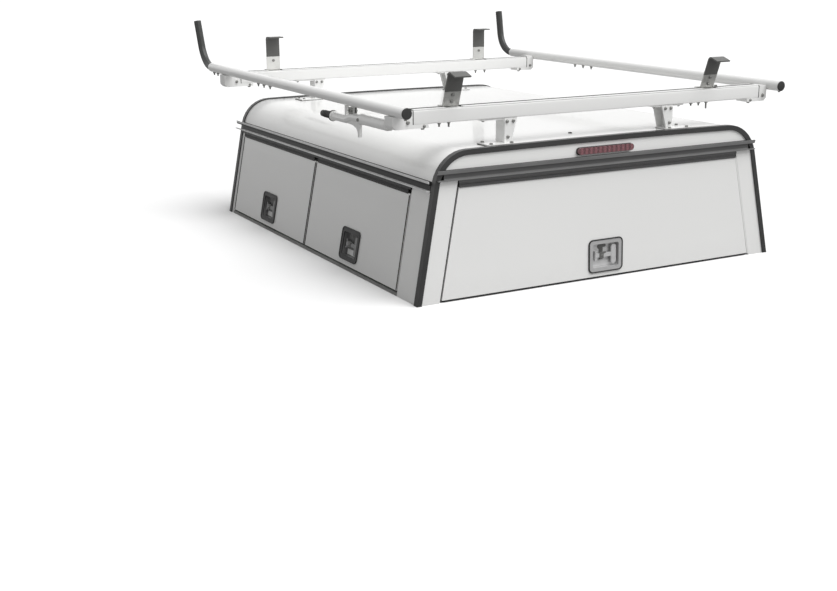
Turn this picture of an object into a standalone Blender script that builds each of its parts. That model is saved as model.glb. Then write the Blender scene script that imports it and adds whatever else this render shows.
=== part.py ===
"""Pickup truck canopy with side doors, a rear door and a ladder rack.

Metres. +Z is up, +Y points to the front of the truck and +X to its right. The canopy
stands on its base at Z = 0, and the origin is the middle of its footprint.
"""

import math

import bmesh
import bpy
from mathutils import Matrix, Vector

# Shell
HALF_WIDTH = 0.803
SHELL_LENGTH = 1.893
SIDE_LEAN = math.atan(0.2)
REAR_LEAN = math.atan(0.0447)
SIDE_HINGE_HEIGHT = 0.3796
REAR_HINGE_HEIGHT = SIDE_HINGE_HEIGHT + 0.0334
ROOF_TOP = SIDE_HINGE_HEIGHT + 0.1434
ROOF_BEND = 0.135
ROOF_CROWN = 0.004
CROWN_SHARES = (0.6, 0.2)
BEND_STEPS = 8
SKIN = 0.0025
GAP = 0.0003
FIT = 0.001
CUT_MARGIN = 0.010
WELD = 0.00001

# Rail extrusion with gutter, lips and hinge socket, measured from the hinge axis
AXIS_INSET = 0.001
SOCKET_RADIUS = 0.005
SOCKET_WALL = 0.003
SOCKET_START = 25
SOCKET_END = 240
RAIL_DEPTH = 0.026
LEDGE_HEIGHT = 0.0472
GUTTER_WIDTH = 0.012
GUTTER_DEPTH = 0.006
LIP_REACH = 0.0174
LIP_THICKNESS = 0.004
LIP_EDGE = 0.003
LIP_ROOT = 0.005
LOWER_LIP_HEIGHT = 0.0135
UPPER_LIP_HEIGHT = 0.051
RAIL_SETBACK = 0.041
RAIL_OVERHANG = 0.048
REAR_LIP_HALF = HALF_WIDTH - 0.087
REAR_RAIL_INSET = 0.018

# Corner beads, and posts whose sheet rises to the rails' lower lips
BEAD_PROUD = 0.005
BEAD_FACE = 0.014
BEAD_SIDE = 0.020
POST_TOP = SIDE_HINGE_HEIGHT + 0.0244
POST_NOTCH_DROP = 0.0175
POST_RISE = LOWER_LIP_HEIGHT - FIT - GAP
REAR_POST_TOP = (REAR_HINGE_HEIGHT + POST_RISE) * math.cos(REAR_LEAN)
REAR_POST_FACE = 0.0875
REAR_POST_SIDE = 0.158
FRONT_POST_SIDE = 0.039
FRONT_POST_FACE = 0.068
JAMB_DEPTH = 0.032
STOP_WIDTH = 0.016

# Doors
DOOR_GAP = 0.008
DOOR_THICKNESS = 0.025
DOOR_SKIN = 0.002
DOOR_FRAME = 0.022
DOOR_TOP_DROP = 0.012
SIDE_DOOR_BOTTOM = 0.018
REAR_DOOR_BOTTOM = 0.008
REAR_DOOR_HALF = HALF_WIDTH - REAR_POST_FACE - DOOR_GAP
SIDE_DOORS_START = REAR_POST_SIDE + DOOR_GAP
SIDE_DOORS_END = SHELL_LENGTH - FRONT_POST_SIDE - DOOR_GAP
SIDE_DOORS_SPLIT = (SIDE_DOORS_START + SIDE_DOORS_END) / 2
REAR_SIDE_DOOR = (SIDE_DOORS_START, SIDE_DOORS_SPLIT - DOOR_GAP / 2)
FRONT_SIDE_DOOR = (SIDE_DOORS_SPLIT + DOOR_GAP / 2, SIDE_DOORS_END)
BULB_RADIUS = 0.0045
LEAF_THICKNESS = 0.003
LEAF_PROUD = 0.0033
LEAF_DROP = 0.0145
SIDE_LEAF_MARGIN = 0.014
REAR_LEAF_MARGIN = 0.001

# Locks
LOCK_WIDTH = 0.150
LOCK_HEIGHT = 0.120
LOCK_CORNER = 0.016
LOCK_HOLE_CORNER = 0.010
BEZEL_WIDTH = 0.013
BEZEL_THICKNESS = 0.003
TUB_DEPTH = 0.021
TUB_WALL = 0.002
SIDE_LOCK_HEIGHT = 0.100
REAR_LOCK_HEIGHT = 0.086
HANDLE_PIVOT = -0.040
HANDLE_DEPTH = 0.008
HANDLE_BARREL = 0.005
BARREL_LENGTH = 0.026
EAR_THICKNESS = 0.004
STEM_WIDTH = 0.016
STEM_THICKNESS = 0.007
GRIP_WIDTH = 0.022
GRIP_HEIGHT = 0.072
GRIP_THICKNESS = 0.009
GRIP_CORNER = 0.008
GRIP_END = 0.052

# Base, mullions, front wall and roof bows
BASE_HEIGHT = 0.012
BASE_FLANGE = 0.060
BASE_SHEET = 0.003
MULLION_WIDTH = 0.052
MULLION_DEPTH = 0.020
MULLION_DROP = 0.010
WALL_SHOULDER = 0.004
HEADER_EDGE = 0.006
WINDOW_HALF = HALF_WIDTH - 0.283
WINDOW_BOTTOM = 0.10
WINDOW_TOP = SIDE_HINGE_HEIGHT + 0.0204
WINDOW_CORNER = 0.05
BOW_DEPTH = 0.022
BOW_WIDTH = 0.060

# Brake light
LIGHT_MIDDLE = -0.008
LIGHT_LENGTH = 0.250
LIGHT_HEIGHT = 0.024
LIGHT_DEPTH = 0.015
LIGHT_CORNER = 0.011
LIGHT_BOTTOM = REAR_HINGE_HEIGHT + LEDGE_HEIGHT + 0.0118

# Rack: crossbars and the castings at their ends
BAR_BOTTOM = ROOF_TOP + 0.095
BAR_HEIGHT = 0.049
BAR_DEPTH = 0.060
BAR_WALL = 0.003
BAR_CORNER = 0.005
BAR_HALF = HALF_WIDTH - 0.027
REAR_BAR = 0.098
FRONT_BAR = SHELL_LENGTH - 0.128
CASTING_LIP = 0.003
CASTING_FLOOR = 0.0125
CASTING_INNER = HALF_WIDTH - 0.085
CASTING_CORNER = 0.012
LEFT_CASTING = HALF_WIDTH + 0.053
RIGHT_CASTING = HALF_WIDTH + 0.014

# Rack: side tubes, horns and the latch under the left tube
TUBE_OFFSET = HALF_WIDTH + 0.031
TUBE_HEIGHT = BAR_BOTTOM + BAR_HEIGHT
TUBE_SLOPE = 0.006
TUBE_RADIUS = 0.020
TUBE_WALL = 0.0025
TUBE_REAR = 0.008
TUBE_FRONT = SHELL_LENGTH + 0.072
TUBE_SIDES = 24
HORN_RADIUS = TUBE_RADIUS - TUBE_WALL - GAP
HORN_OVERLAP = 0.040
HORN_LEAD = 0.004
HORN_BEND = 0.124
HORN_ANGLE = math.radians(76)
HORN_SPLAY = math.radians(2.6)
HORN_STRAIGHT = 0.115
LATCH_HEIGHT = BAR_BOTTOM - 0.006
LATCH_DROP = 0.014
LATCH_SHAFT = 0.0165
SHAFT_END = 0.357
LATCH_BODY = 0.015
LATCH_END = 0.590
GRIP_RADIUS = 0.0125
GRIP_TIP = 0.690
LEVER_PLACE = 0.362
LEVER_WIDTH = 0.012
LEVER_DROP = 0.052
LATCH_HANGER = (0.425, 0.475)

# Rack: feet and load stops
LEFT_FOOT = -(HALF_WIDTH - 0.391)
RIGHT_FOOT = HALF_WIDTH - 0.458
FOOT_TOP_WIDTH = 0.053
FOOT_BOTTOM_WIDTH = 0.028
FOOT_DEPTH = 0.058
FOOT_WALL = 0.004
FOOT_SEAT = 0.0004
FOOT_CLAMP = (0.144, 0.050)
CLAMP_SHIFT = -0.019
FOOT_PLATE = (0.110, 0.081)
FOOT_PLATE_OUT = 0.022
FOOT_PLATE_THICKNESS = 0.005
STOP_PLATE_WIDTH = 0.064
STOP_PLATE_THICKNESS = 0.005
STOP_BASE = 0.035
STOP_BEND = 0.009
REAR_STOP = (0.128, 0.046, math.radians(19.3))
FRONT_STOP = (0.149, 0.053, 0.0)
LEFT_REAR_STOP = -(HALF_WIDTH - 0.188)
RIGHT_REAR_STOP = HALF_WIDTH - 0.270
LEFT_FRONT_STOP = -(HALF_WIDTH - 0.199)
RIGHT_FRONT_STOP = HALF_WIDTH - 0.297
STRIP_HALF = 0.0275
STRIP_HEIGHT = 0.0034
STRIP_SHOULDER = 0.0024
STRIP_EDGE = 0.004
STRIP_RIB = 0.0075
STRIP_GROOVE = 0.003
STRIP_END = 0.003

WHITE = (0.86, 0.86, 0.85)
SHADE_BLACK = (0.06, 0.06, 0.06)
ALUMINIUM = (0.62, 0.62, 0.62)
STEEL = (0.50, 0.50, 0.49)
RED = (0.42, 0.05, 0.06)
GLASS_TINT = (0.10, 0.12, 0.12)

# The roof's bend touches the side face where the rail's ledge carries the skin.
BEND_Z = ROOF_TOP - ROOF_BEND
BEND_X = HALF_WIDTH - (ROOF_BEND + BEND_Z * math.sin(SIDE_LEAN)) / math.cos(SIDE_LEAN)
TANGENT_HEIGHT = (HALF_WIDTH - BEND_X) * math.sin(SIDE_LEAN) + BEND_Z * math.cos(SIDE_LEAN)
SIDE_LEDGE = SIDE_HINGE_HEIGHT + LEDGE_HEIGHT
SKIN_START = SIDE_LEAN + (SIDE_LEDGE + GAP - TANGENT_HEIGHT) / ROOF_BEND

# The footprint's middle lies between the rear bead and the tip of the horns.
HORN_REACH = (
    HORN_BEND * math.sin(HORN_ANGLE)
    + HORN_STRAIGHT * math.cos(HORN_ANGLE)
    + HORN_RADIUS * math.sin(HORN_ANGLE)
)
REAR_Y = -(TUBE_FRONT + HORN_LEAD + HORN_REACH - BEAD_PROUD) / 2
FRONT_Y = REAR_Y + SHELL_LENGTH

parts = bpy.data.collections.new("Pickup canopy")
cutters = bpy.data.collections.new("Cutters")


def clear_scene():
    for obj in list(bpy.data.objects):
        bpy.data.objects.remove(obj)
    bpy.context.scene.collection.children.link(parts)
    bpy.context.scene.collection.children.link(cutters)


def material(name, color, roughness, metallic=0.0):
    made = bpy.data.materials.new(name)
    made.use_nodes = True
    shader = made.node_tree.nodes["Principled BSDF"]
    shader.inputs["Base Color"].default_value = (*color, 1.0)
    shader.inputs["Roughness"].default_value = roughness
    shader.inputs["Metallic"].default_value = metallic
    return made


def arc(center, radius, start, end, steps):
    """Points on an arc, angles in radians."""
    angles = [start + (end - start) * i / steps for i in range(steps + 1)]
    return [(center[0] + radius * math.cos(a), center[1] + radius * math.sin(a)) for a in angles]


def rectangle(low, high):
    return [low, (high[0], low[1]), high, (low[0], high[1])]


def rounded_rectangle(low, high, radius, steps=4):
    """Corner arcs in order: lower right, upper right, upper left, lower left."""
    centers = [
        (high[0] - radius, low[1] + radius),
        (high[0] - radius, high[1] - radius),
        (low[0] + radius, high[1] - radius),
        (low[0] + radius, low[1] + radius),
    ]
    points = []
    for turn, center in enumerate(centers, start=-1):
        quarter = math.pi / 2
        points += arc(center, radius, turn * quarter, (turn + 1) * quarter, steps)
    return points


def sheet_outline(path, thickness):
    """The outline of a folded sheet: the path is one face, and the sheet lies to its left."""
    points = [Vector(p) for p in path]
    directions = [(b - a).normalized() for a, b in zip(points, points[1:])]
    directions = [directions[0], *directions, directions[-1]]
    other = []
    for point, before, after in zip(points, directions, directions[1:]):
        left = Vector((-before.y, before.x)) + Vector((-after.y, after.x))
        other.append(point + left * (2 * thickness / left.length_squared))
    return [tuple(p) for p in points] + [tuple(p) for p in reversed(other)]


def bent(path, radius, steps=3):
    """The path with each inner corner rounded."""
    points = [Vector(p) for p in path]
    made = [path[0]]
    for before, corner, after in zip(points, points[1:], points[2:]):
        into = (before - corner).normalized()
        out = (after - corner).normalized()
        half = into.angle(out) / 2
        center = corner + (into + out).normalized() * (radius / math.sin(half))
        reach = radius / math.tan(half)
        start, stop = corner + into * reach - center, corner + out * reach - center
        turn = start.angle_signed(stop)
        for i in range(steps + 1):
            angle = math.atan2(start.y, start.x) - turn * i / steps
            made.append((center.x + radius * math.cos(angle), center.y + radius * math.sin(angle)))
    return [*made, path[-1]]


def frame_of(origin, across, up):
    """Local X runs across, local Y runs up and local Z leaves the face."""
    across = Vector(across).normalized()
    up = Vector(up).normalized()
    matrix = Matrix((across, up, across.cross(up))).transposed().to_4x4()
    matrix.translation = origin
    return matrix


def side_face(side):
    """The outer side face: X along the truck (mirrored on the left), Y up the face, Z outward."""
    up = (-side * math.sin(SIDE_LEAN), 0, math.cos(SIDE_LEAN))
    return frame_of((side * HALF_WIDTH, REAR_Y, 0), (0, side, 0), up)


def rear_face():
    """The rear face: X to the right, Y up the face, Z to the rear."""
    return frame_of((0, REAR_Y, 0), (1, 0, 0), (0, math.sin(REAR_LEAN), math.cos(REAR_LEAN)))


def outline_solid(name, loops, low, high, frame, finish):
    """A flat outline, with holes, between two heights over the frame's plane."""
    curve = bpy.data.curves.new(name, "CURVE")
    curve.dimensions = "2D"
    curve.fill_mode = "BOTH"
    curve.extrude = (high - low) / 2
    for loop in loops:
        spline = curve.splines.new("POLY")
        spline.points.add(len(loop) - 1)
        for point, place in zip(spline.points, loop):
            point.co = (*place, 0, 1)
        spline.use_cyclic_u = True
    curve.materials.append(finish)
    obj = bpy.data.objects.new(name, curve)
    obj.matrix_world = frame @ Matrix.Translation((0, 0, (low + high) / 2))
    parts.objects.link(obj)
    return obj


def rod(name, points, radius, finish, shares=None, resolution=3):
    """A round bar along a path, with shares of its radius at each point where it changes."""
    curve = bpy.data.curves.new(name, "CURVE")
    curve.dimensions = "3D"
    curve.bevel_depth = radius
    curve.bevel_resolution = resolution
    curve.use_fill_caps = True
    spline = curve.splines.new("POLY")
    spline.points.add(len(points) - 1)
    for point, place, share in zip(spline.points, points, shares or [1] * len(points)):
        point.co = (*place, 1)
        point.radius = share
    curve.materials.append(finish)
    obj = bpy.data.objects.new(name, curve)
    parts.objects.link(obj)
    return obj


def as_mesh(obj, transform=None):
    """The curve as a welded mesh object of the same name, which can be cut and joined."""
    name = obj.name
    place = transform @ obj.matrix_world if transform else obj.matrix_world.copy()
    bpy.context.view_layer.update()
    graph = bpy.context.evaluated_depsgraph_get()
    mesh = bpy.data.meshes.new_from_object(obj.evaluated_get(graph))
    made = bmesh.new()
    made.from_mesh(mesh)
    bmesh.ops.remove_doubles(made, verts=made.verts, dist=WELD)
    made.transform(place)
    bmesh.ops.recalc_face_normals(made, faces=made.faces)
    if made.calc_volume(signed=True) < 0:
        bmesh.ops.reverse_faces(made, faces=made.faces)
    made.to_mesh(mesh)
    made.free()
    bpy.data.objects.remove(obj)
    solid = bpy.data.objects.new(name, mesh)
    mesh.name = name
    parts.objects.link(solid)
    return solid


def combine(target, other, operation):
    """A Boolean with the other solid, which becomes a hidden cutter."""
    modifier = target.modifiers.new(other.name, "BOOLEAN")
    modifier.operation = operation
    modifier.object = other
    parts.objects.unlink(other)
    cutters.objects.link(other)
    other.hide_render = True
    other.display_type = "WIRE"


def cut(target, other):
    combine(target, other, "DIFFERENCE")


def join(target, other):
    combine(target, other, "UNION")


def smooth(obj, angle=30):
    """Round surfaces shaded smooth, with the corners over this angle kept sharp."""
    mesh = obj.data
    mesh.shade_smooth()
    mesh.set_sharp_from_angle(angle=math.radians(angle))
    return obj


def lean_rear():
    """A shear that tips upright pieces with the rear face."""
    shear = Matrix.Identity(4)
    shear[1][2] = math.tan(REAR_LEAN)
    return shear


def lean_side(side):
    """A shear that tips upright pieces with a side face."""
    shear = Matrix.Identity(4)
    shear[0][2] = -side * math.tan(SIDE_LEAN)
    return shear


def roof_line(offset, start):
    """The roof's line over both bends, offset outward, from the right edge to the left one."""
    radius = ROOF_BEND + offset
    right = arc((BEND_X, BEND_Z), radius, start, math.pi / 2, BEND_STEPS)
    crown = []
    for share in CROWN_SHARES:
        rise = ROOF_CROWN * (1 - share**2)
        crown.append((BEND_X * share, BEND_Z + radius + rise))
    half = right + crown
    return half + [(-x, z) for x, z in reversed(half)]


def hoop_line(offset):
    """The line of the whole cross section, from the right foot over the roof to the left foot."""
    foot = (HALF_WIDTH + offset / math.cos(SIDE_LEAN), 0)
    tangent = arc((BEND_X, BEND_Z), ROOF_BEND + offset, SIDE_LEAN, SKIN_START, 1)[0]
    half = [foot, tangent]
    return half + roof_line(offset, SKIN_START) + [(-x, z) for x, z in reversed(half)]


def ring(outer, inner):
    """The band between two lines."""
    return [*outer, *reversed(inner)]


def upright(y):
    """The cross section's plane: X to the right, Y up, Z to the rear, at a place along the truck."""
    return frame_of((0, y, 0), (1, 0, 0), (0, 0, 1))


def plan(z=0.0):
    """The floor plan: X to the right, Y to the front, Z up."""
    return frame_of((0, REAR_Y, z), (1, 0, 0), (0, 1, 0))


def rail_profile():
    """The extrusion over each door. X leaves the face and Y goes up, from the hinge axis."""
    socket = [math.radians(a) for a in (SOCKET_START, SOCKET_END)]
    outer = SOCKET_RADIUS + SOCKET_WALL
    body_turn = math.radians(195)
    inside = arc((0, 0), SOCKET_RADIUS, socket[0], socket[1], 12)
    outside = arc((0, 0), outer, socket[1], body_turn, 3)
    inner = -RAIL_DEPTH
    face = AXIS_INSET
    recess = face + LIP_ROOT
    foot = outside[-1][1]
    lower = LOWER_LIP_HEIGHT
    upper = UPPER_LIP_HEIGHT
    body = [
        (inner, foot),
        (inner, LEDGE_HEIGHT),
        (face, LEDGE_HEIGHT),
        (face, LEDGE_HEIGHT - GUTTER_DEPTH),
        (face + GUTTER_WIDTH, LEDGE_HEIGHT - GUTTER_DEPTH),
        (LIP_REACH - LIP_EDGE, upper),
        (LIP_REACH, upper),
        (LIP_REACH, upper - LIP_THICKNESS / 2),
        (face + GUTTER_WIDTH, LEDGE_HEIGHT - GUTTER_DEPTH - LIP_THICKNESS),
        (recess, LEDGE_HEIGHT - GUTTER_DEPTH - LIP_THICKNESS),
        (recess, lower + LIP_THICKNESS),
        (LIP_REACH, lower + LIP_THICKNESS),
        (LIP_REACH, lower),
        (recess, lower),
        (outer * math.cos(socket[0]), outer * math.sin(socket[0])),
    ]
    return inside + outside + body


def leaf_profile():
    """The door's hinge extrusion, from the hinge axis: bulb, neck, top flange and face flange."""
    neck = LEAF_THICKNESS / 2
    neck_turn = math.asin(neck / BULB_RADIUS)
    down = -math.pi / 2
    bulb = arc((0, 0), BULB_RADIUS, down + neck_turn, down - neck_turn + 2 * math.pi, 12)
    top = -DOOR_TOP_DROP + GAP + LEAF_THICKNESS
    front = AXIS_INSET + LEAF_PROUD
    back = AXIS_INSET - DOOR_THICKNESS
    flange = [
        (-neck, top),
        (back, top),
        (back, top - LEAF_THICKNESS),
        (AXIS_INSET + GAP, top - LEAF_THICKNESS),
        (AXIS_INSET + GAP, -LEAF_DROP),
        (front, -LEAF_DROP),
        (front, top),
        (neck, top),
    ]
    return bulb + flange


def box(name, low, high, finish, frame=None):
    """A plain block from its low and high corners."""
    mesh = bpy.data.meshes.new(name)
    made = bmesh.new()
    bmesh.ops.create_cube(made, size=1)
    size = [b - a for a, b in zip(low, high)]
    middle = [(a + b) / 2 for a, b in zip(low, high)]
    made.transform(Matrix.Translation(middle) @ Matrix.Diagonal((*size, 1)))
    if frame:
        made.transform(frame)
    made.to_mesh(mesh)
    made.free()
    mesh.materials.append(finish)
    obj = bpy.data.objects.new(name, mesh)
    parts.objects.link(obj)
    return obj


def side_name(side):
    return "right" if side > 0 else "left"


def rail_notch_corners():
    """The part of the rail's section that stops where a corner bead stands."""
    low = (-RAIL_DEPTH - CUT_MARGIN, -SOCKET_RADIUS - SOCKET_WALL - CUT_MARGIN)
    return rectangle(low, (AXIS_INSET + BEAD_PROUD + GAP, UPPER_LIP_HEIGHT + CUT_MARGIN))


def post_seat_corners():
    """The part of the rail's section, under its lower lip, that gives way to a post's sheet."""
    depth = SOCKET_RADIUS + SOCKET_WALL + GAP
    low = (-depth, -depth - CUT_MARGIN)
    return rectangle(low, (LIP_REACH + CUT_MARGIN, LOWER_LIP_HEIGHT - FIT))


def side_rail_frame(side):
    """The rail's section on a side face: X outward, Y up the face, origin on the hinge axis."""
    face = side_face(side)
    up = face.col[1].to_3d()
    out = face.col[2].to_3d()
    origin = face @ Vector((0, SIDE_HINGE_HEIGHT, -AXIS_INSET))
    return frame_of(origin, out, up)


def rear_rail_frame():
    face = rear_face()
    origin = face @ Vector((0, REAR_HINGE_HEIGHT, -AXIS_INSET))
    return frame_of(origin, face.col[2].to_3d(), face.col[1].to_3d())


def make_side_rail(side, finish):
    """The side rail: its body stops at the corner beads and its lips run on past the front."""
    frame = side_rail_frame(side)
    ends = (RAIL_SETBACK, SHELL_LENGTH + RAIL_OVERHANG)
    spans = sorted(-side * end for end in ends)
    rail = outline_solid(f"{side_name(side)}_side_rail", [rail_profile()], *spans, frame, finish)
    rail = as_mesh(rail)
    notch_from = SHELL_LENGTH - BEAD_SIDE - GAP
    notch_to = SHELL_LENGTH + RAIL_OVERHANG + CUT_MARGIN
    notch_spans = sorted(-side * end for end in (notch_from, notch_to))
    corners = rail_notch_corners()
    notch = outline_solid(f"{side_name(side)}_rail_notch", [corners], *notch_spans, frame, finish)
    cut(rail, as_mesh(notch))
    rise = (SIDE_HINGE_HEIGHT + LOWER_LIP_HEIGHT) * math.tan(REAR_LEAN)
    posts = (
        (RAIL_SETBACK - CUT_MARGIN, REAR_POST_SIDE + rise + FIT),
        (SHELL_LENGTH - FRONT_POST_SIDE - FIT, notch_to),
    )
    for seat_ends in posts:
        seat_spans = sorted(-side * end for end in seat_ends)
        seat = outline_solid(
            f"{side_name(side)}_post_seat", [post_seat_corners()], *seat_spans, frame, finish
        )
        cut(rail, as_mesh(seat))
    return rail


def make_rear_rail(finish):
    frame = rear_rail_frame()
    rail = outline_solid(
        "rear_rail", [rail_profile()], -REAR_LIP_HALF, REAR_LIP_HALF, frame, finish
    )
    rail = as_mesh(rail)
    edge = HALF_WIDTH - REAR_HINGE_HEIGHT * math.tan(SIDE_LEAN)
    body_half = edge - BEAD_FACE - REAR_RAIL_INSET
    corners = rail_notch_corners()
    for side in (-1, 1):
        spans = sorted(side * end for end in (body_half, REAR_LIP_HALF + CUT_MARGIN))
        notch = outline_solid(
            f"rear_rail_notch_{side_name(side)}", [corners], *spans, frame, finish
        )
        cut(rail, as_mesh(notch))
        height = REAR_HINGE_HEIGHT + LOWER_LIP_HEIGHT
        post_edge = HALF_WIDTH - REAR_POST_FACE - height * math.tan(SIDE_LEAN) - FIT
        spans = sorted(side * end for end in (post_edge, REAR_LIP_HALF + CUT_MARGIN))
        seat = outline_solid(
            f"rear_post_seat_{side_name(side)}", [post_seat_corners()], *spans, frame, finish
        )
        cut(rail, as_mesh(seat))
    return rail


def make_roof_skin(finish):
    outer = roof_line(0, SKIN_START)
    inner = roof_line(-SKIN, SKIN_START)
    rear = REAR_Y + (ROOF_TOP + ROOF_CROWN) * math.tan(REAR_LEAN) + GAP
    skin = outline_solid(
        "roof_skin", [ring(outer, inner)], GAP, FRONT_Y - rear, upright(FRONT_Y), finish
    )
    return smooth(as_mesh(skin))


def make_bead(name, y, direction, transform, finish):
    """A corner bead all round the section: a face flange, and a flange along the side and roof."""
    outer = hoop_line(BEAD_PROUD)
    face_inner = hoop_line(-BEAD_FACE)
    side_inner = hoop_line(GAP)
    frame = upright(y)
    spans_face = sorted((direction * GAP, direction * BEAD_PROUD))
    spans_side = sorted((-direction * BEAD_SIDE, direction * BEAD_PROUD))
    bead = outline_solid(name, [ring(outer, face_inner)], *spans_face, frame, finish)
    bead = as_mesh(bead, transform)
    flange = outline_solid(f"{name}_flange", [ring(outer, side_inner)], *spans_side, frame, finish)
    join(bead, as_mesh(flange, transform))
    return bead


def make_post(side, end, finish):
    """A corner post of folded sheet with a jamb and a stop for each door that closes on it."""
    rear = end == "rear"
    name = f"{side_name(side)}_{end}_post"
    if rear:
        face = HALF_WIDTH - REAR_POST_FACE
        path = [
            (face - STOP_WIDTH, JAMB_DEPTH),
            (face, JAMB_DEPTH),
            (face, 0),
            (HALF_WIDTH, 0),
            (HALF_WIDTH, REAR_POST_SIDE),
            (HALF_WIDTH - JAMB_DEPTH, REAR_POST_SIDE),
            (HALF_WIDTH - JAMB_DEPTH, REAR_POST_SIDE + STOP_WIDTH),
        ]
    else:
        path = [
            (HALF_WIDTH - JAMB_DEPTH, SHELL_LENGTH - FRONT_POST_SIDE - STOP_WIDTH),
            (HALF_WIDTH - JAMB_DEPTH, SHELL_LENGTH - FRONT_POST_SIDE),
            (HALF_WIDTH, SHELL_LENGTH - FRONT_POST_SIDE),
            (HALF_WIDTH, SHELL_LENGTH),
            (HALF_WIDTH - FRONT_POST_FACE, SHELL_LENGTH),
        ]
    outline = [(side * x, y) for x, y in sheet_outline(path, SKIN)]
    top = REAR_POST_TOP if rear else POST_TOP
    post = outline_solid(name, [outline], 0, top, plan(), finish)
    lean = lean_side(side)
    if rear:
        shear = lean_rear()
        lean = lean @ shear
    post = as_mesh(post, lean)
    slope = math.tan(REAR_LEAN)
    if rear:
        low_y = RAIL_SETBACK - GAP
        high_y = REAR_POST_SIDE + STOP_WIDTH + CUT_MARGIN + top * slope
        sheet_back = REAR_Y + top * slope + SKIN + GAP
        xs = sorted((side * (HALF_WIDTH - REAR_POST_SIDE - top / 2), side * HALF_WIDTH))
        low_corner = (xs[0], sheet_back, POST_TOP)
        high_corner = (xs[1], REAR_Y + high_y, top + CUT_MARGIN)
        cut(post, box(f"{name}_shoulder", low_corner, high_corner, finish))
        under_bead = HALF_WIDTH - top * math.tan(SIDE_LEAN) - BEAD_FACE / 2
        xs = sorted((side * under_bead, side * HALF_WIDTH))
        low_corner = (xs[0], REAR_Y - CUT_MARGIN, POST_TOP)
        high_corner = (xs[1], REAR_Y + high_y, top + CUT_MARGIN)
        cut(post, box(f"{name}_corner", low_corner, high_corner, finish))
    else:
        low_y = SHELL_LENGTH - FRONT_POST_SIDE - STOP_WIDTH - CUT_MARGIN
        high_y = SHELL_LENGTH - BEAD_SIDE
    inner = -JAMB_DEPTH - CUT_MARGIN
    back = AXIS_INSET - SKIN - FIT
    notch_outline = [
        (inner, -POST_NOTCH_DROP),
        (back, -POST_NOTCH_DROP),
        (back, POST_RISE),
        (CUT_MARGIN, POST_RISE),
        (CUT_MARGIN, UPPER_LIP_HEIGHT),
        (inner, UPPER_LIP_HEIGHT),
    ]
    spans = sorted((-side * low_y, -side * high_y))
    notch = outline_solid(
        f"{name}_notch", [notch_outline], *spans, side_rail_frame(side), finish
    )
    cut(post, as_mesh(notch))
    return post


def make_base_rail(side, finish):
    """The bed-rail flange under the side doors."""
    low, high = REAR_POST_SIDE + FIT, SHELL_LENGTH - FRONT_POST_SIDE - GAP
    path = [(0, BASE_HEIGHT), (0, 0), (-BASE_FLANGE, 0)]
    outline = sheet_outline(path[::-1], BASE_SHEET)
    outline = [(x, max(z, 0)) for x, z in outline]
    frame = frame_of((side * HALF_WIDTH, REAR_Y, 0), (side, 0, 0), (0, 0, 1))
    spans = sorted(-side * end for end in (low, high))
    name = f"{side_name(side)}_base_rail"
    rail = as_mesh(outline_solid(name, [outline], *spans, frame, finish))
    xs = sorted((side * (HALF_WIDTH - 2 * BASE_FLANGE), side * (HALF_WIDTH - BASE_SHEET - FIT)))
    notches = ((0, low + STOP_WIDTH + FIT), (high - STOP_WIDTH - FIT, SHELL_LENGTH))
    for start, end in notches:
        low_corner = (xs[0], REAR_Y + start, -CUT_MARGIN)
        corners = (low_corner, (xs[1], REAR_Y + end, BASE_HEIGHT + CUT_MARGIN))
        cut(rail, box(f"{name}_notch", *corners, finish))
    return rail


def make_mullion(side, finish):
    """The channel behind the two side doors' meeting edges."""
    middle = (REAR_SIDE_DOOR[1] + FRONT_SIDE_DOOR[0]) / 2
    front = HALF_WIDTH - JAMB_DEPTH
    half = MULLION_WIDTH / 2
    path = [
        (front - MULLION_DEPTH, middle - half),
        (front, middle - half),
        (front, middle + half),
        (front - MULLION_DEPTH, middle + half),
    ]
    outline = [(side * x, y) for x, y in sheet_outline(path, SKIN)]
    bottom = BASE_SHEET + GAP
    top = SIDE_HINGE_HEIGHT * math.cos(SIDE_LEAN) - MULLION_DROP
    mullion = outline_solid(
        f"{side_name(side)}_mullion", [outline], bottom, top, plan(), finish
    )
    return as_mesh(mullion, lean_side(side))


def make_front_wall(finish):
    """The front wall between the posts, under the roof, with its window cut through."""
    tan = math.tan(SIDE_LEAN)
    foot = HALF_WIDTH - FRONT_POST_FACE - GAP
    shoulder = POST_TOP + GAP
    line = roof_line(-SKIN - GAP, SKIN_START)
    edge = line[0]
    half = [(foot, 0), (foot - shoulder * tan, shoulder), (edge[0] - WALL_SHOULDER, shoulder)]
    mirrored = [(-x, z) for x, z in reversed(half)]
    outline = half + line + mirrored
    window = rounded_rectangle(
        (-WINDOW_HALF, WINDOW_BOTTOM), (WINDOW_HALF, WINDOW_TOP), WINDOW_CORNER
    )
    return outline_solid("front_wall", [outline, window], 0, SKIN, upright(FRONT_Y), finish)


def make_front_window(finish):
    """The glass fills the front wall's opening with a small clearance."""
    low = (-WINDOW_HALF + GAP, WINDOW_BOTTOM + GAP)
    high = (WINDOW_HALF - GAP, WINDOW_TOP - GAP)
    pane = rounded_rectangle(low, high, WINDOW_CORNER - GAP)
    return outline_solid("front_window", [pane], -FIT, SKIN, upright(FRONT_Y), finish)


def make_header(finish):
    """The rear panel between the rear rail and the roof."""
    frame = rear_face()
    bottom = REAR_HINGE_HEIGHT + LEDGE_HEIGHT + GAP
    line = [p for p in roof_line(-SKIN - GAP, SKIN_START) if p[1] > bottom + WALL_SHOULDER]
    edge = line[0][0]
    half = [(edge + HEADER_EDGE, bottom)]
    outline = half + line + [(-x, z) for x, z in half]
    return outline_solid("rear_header", [outline], -AXIS_INSET - SKIN, -AXIS_INSET, frame, finish)


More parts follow.
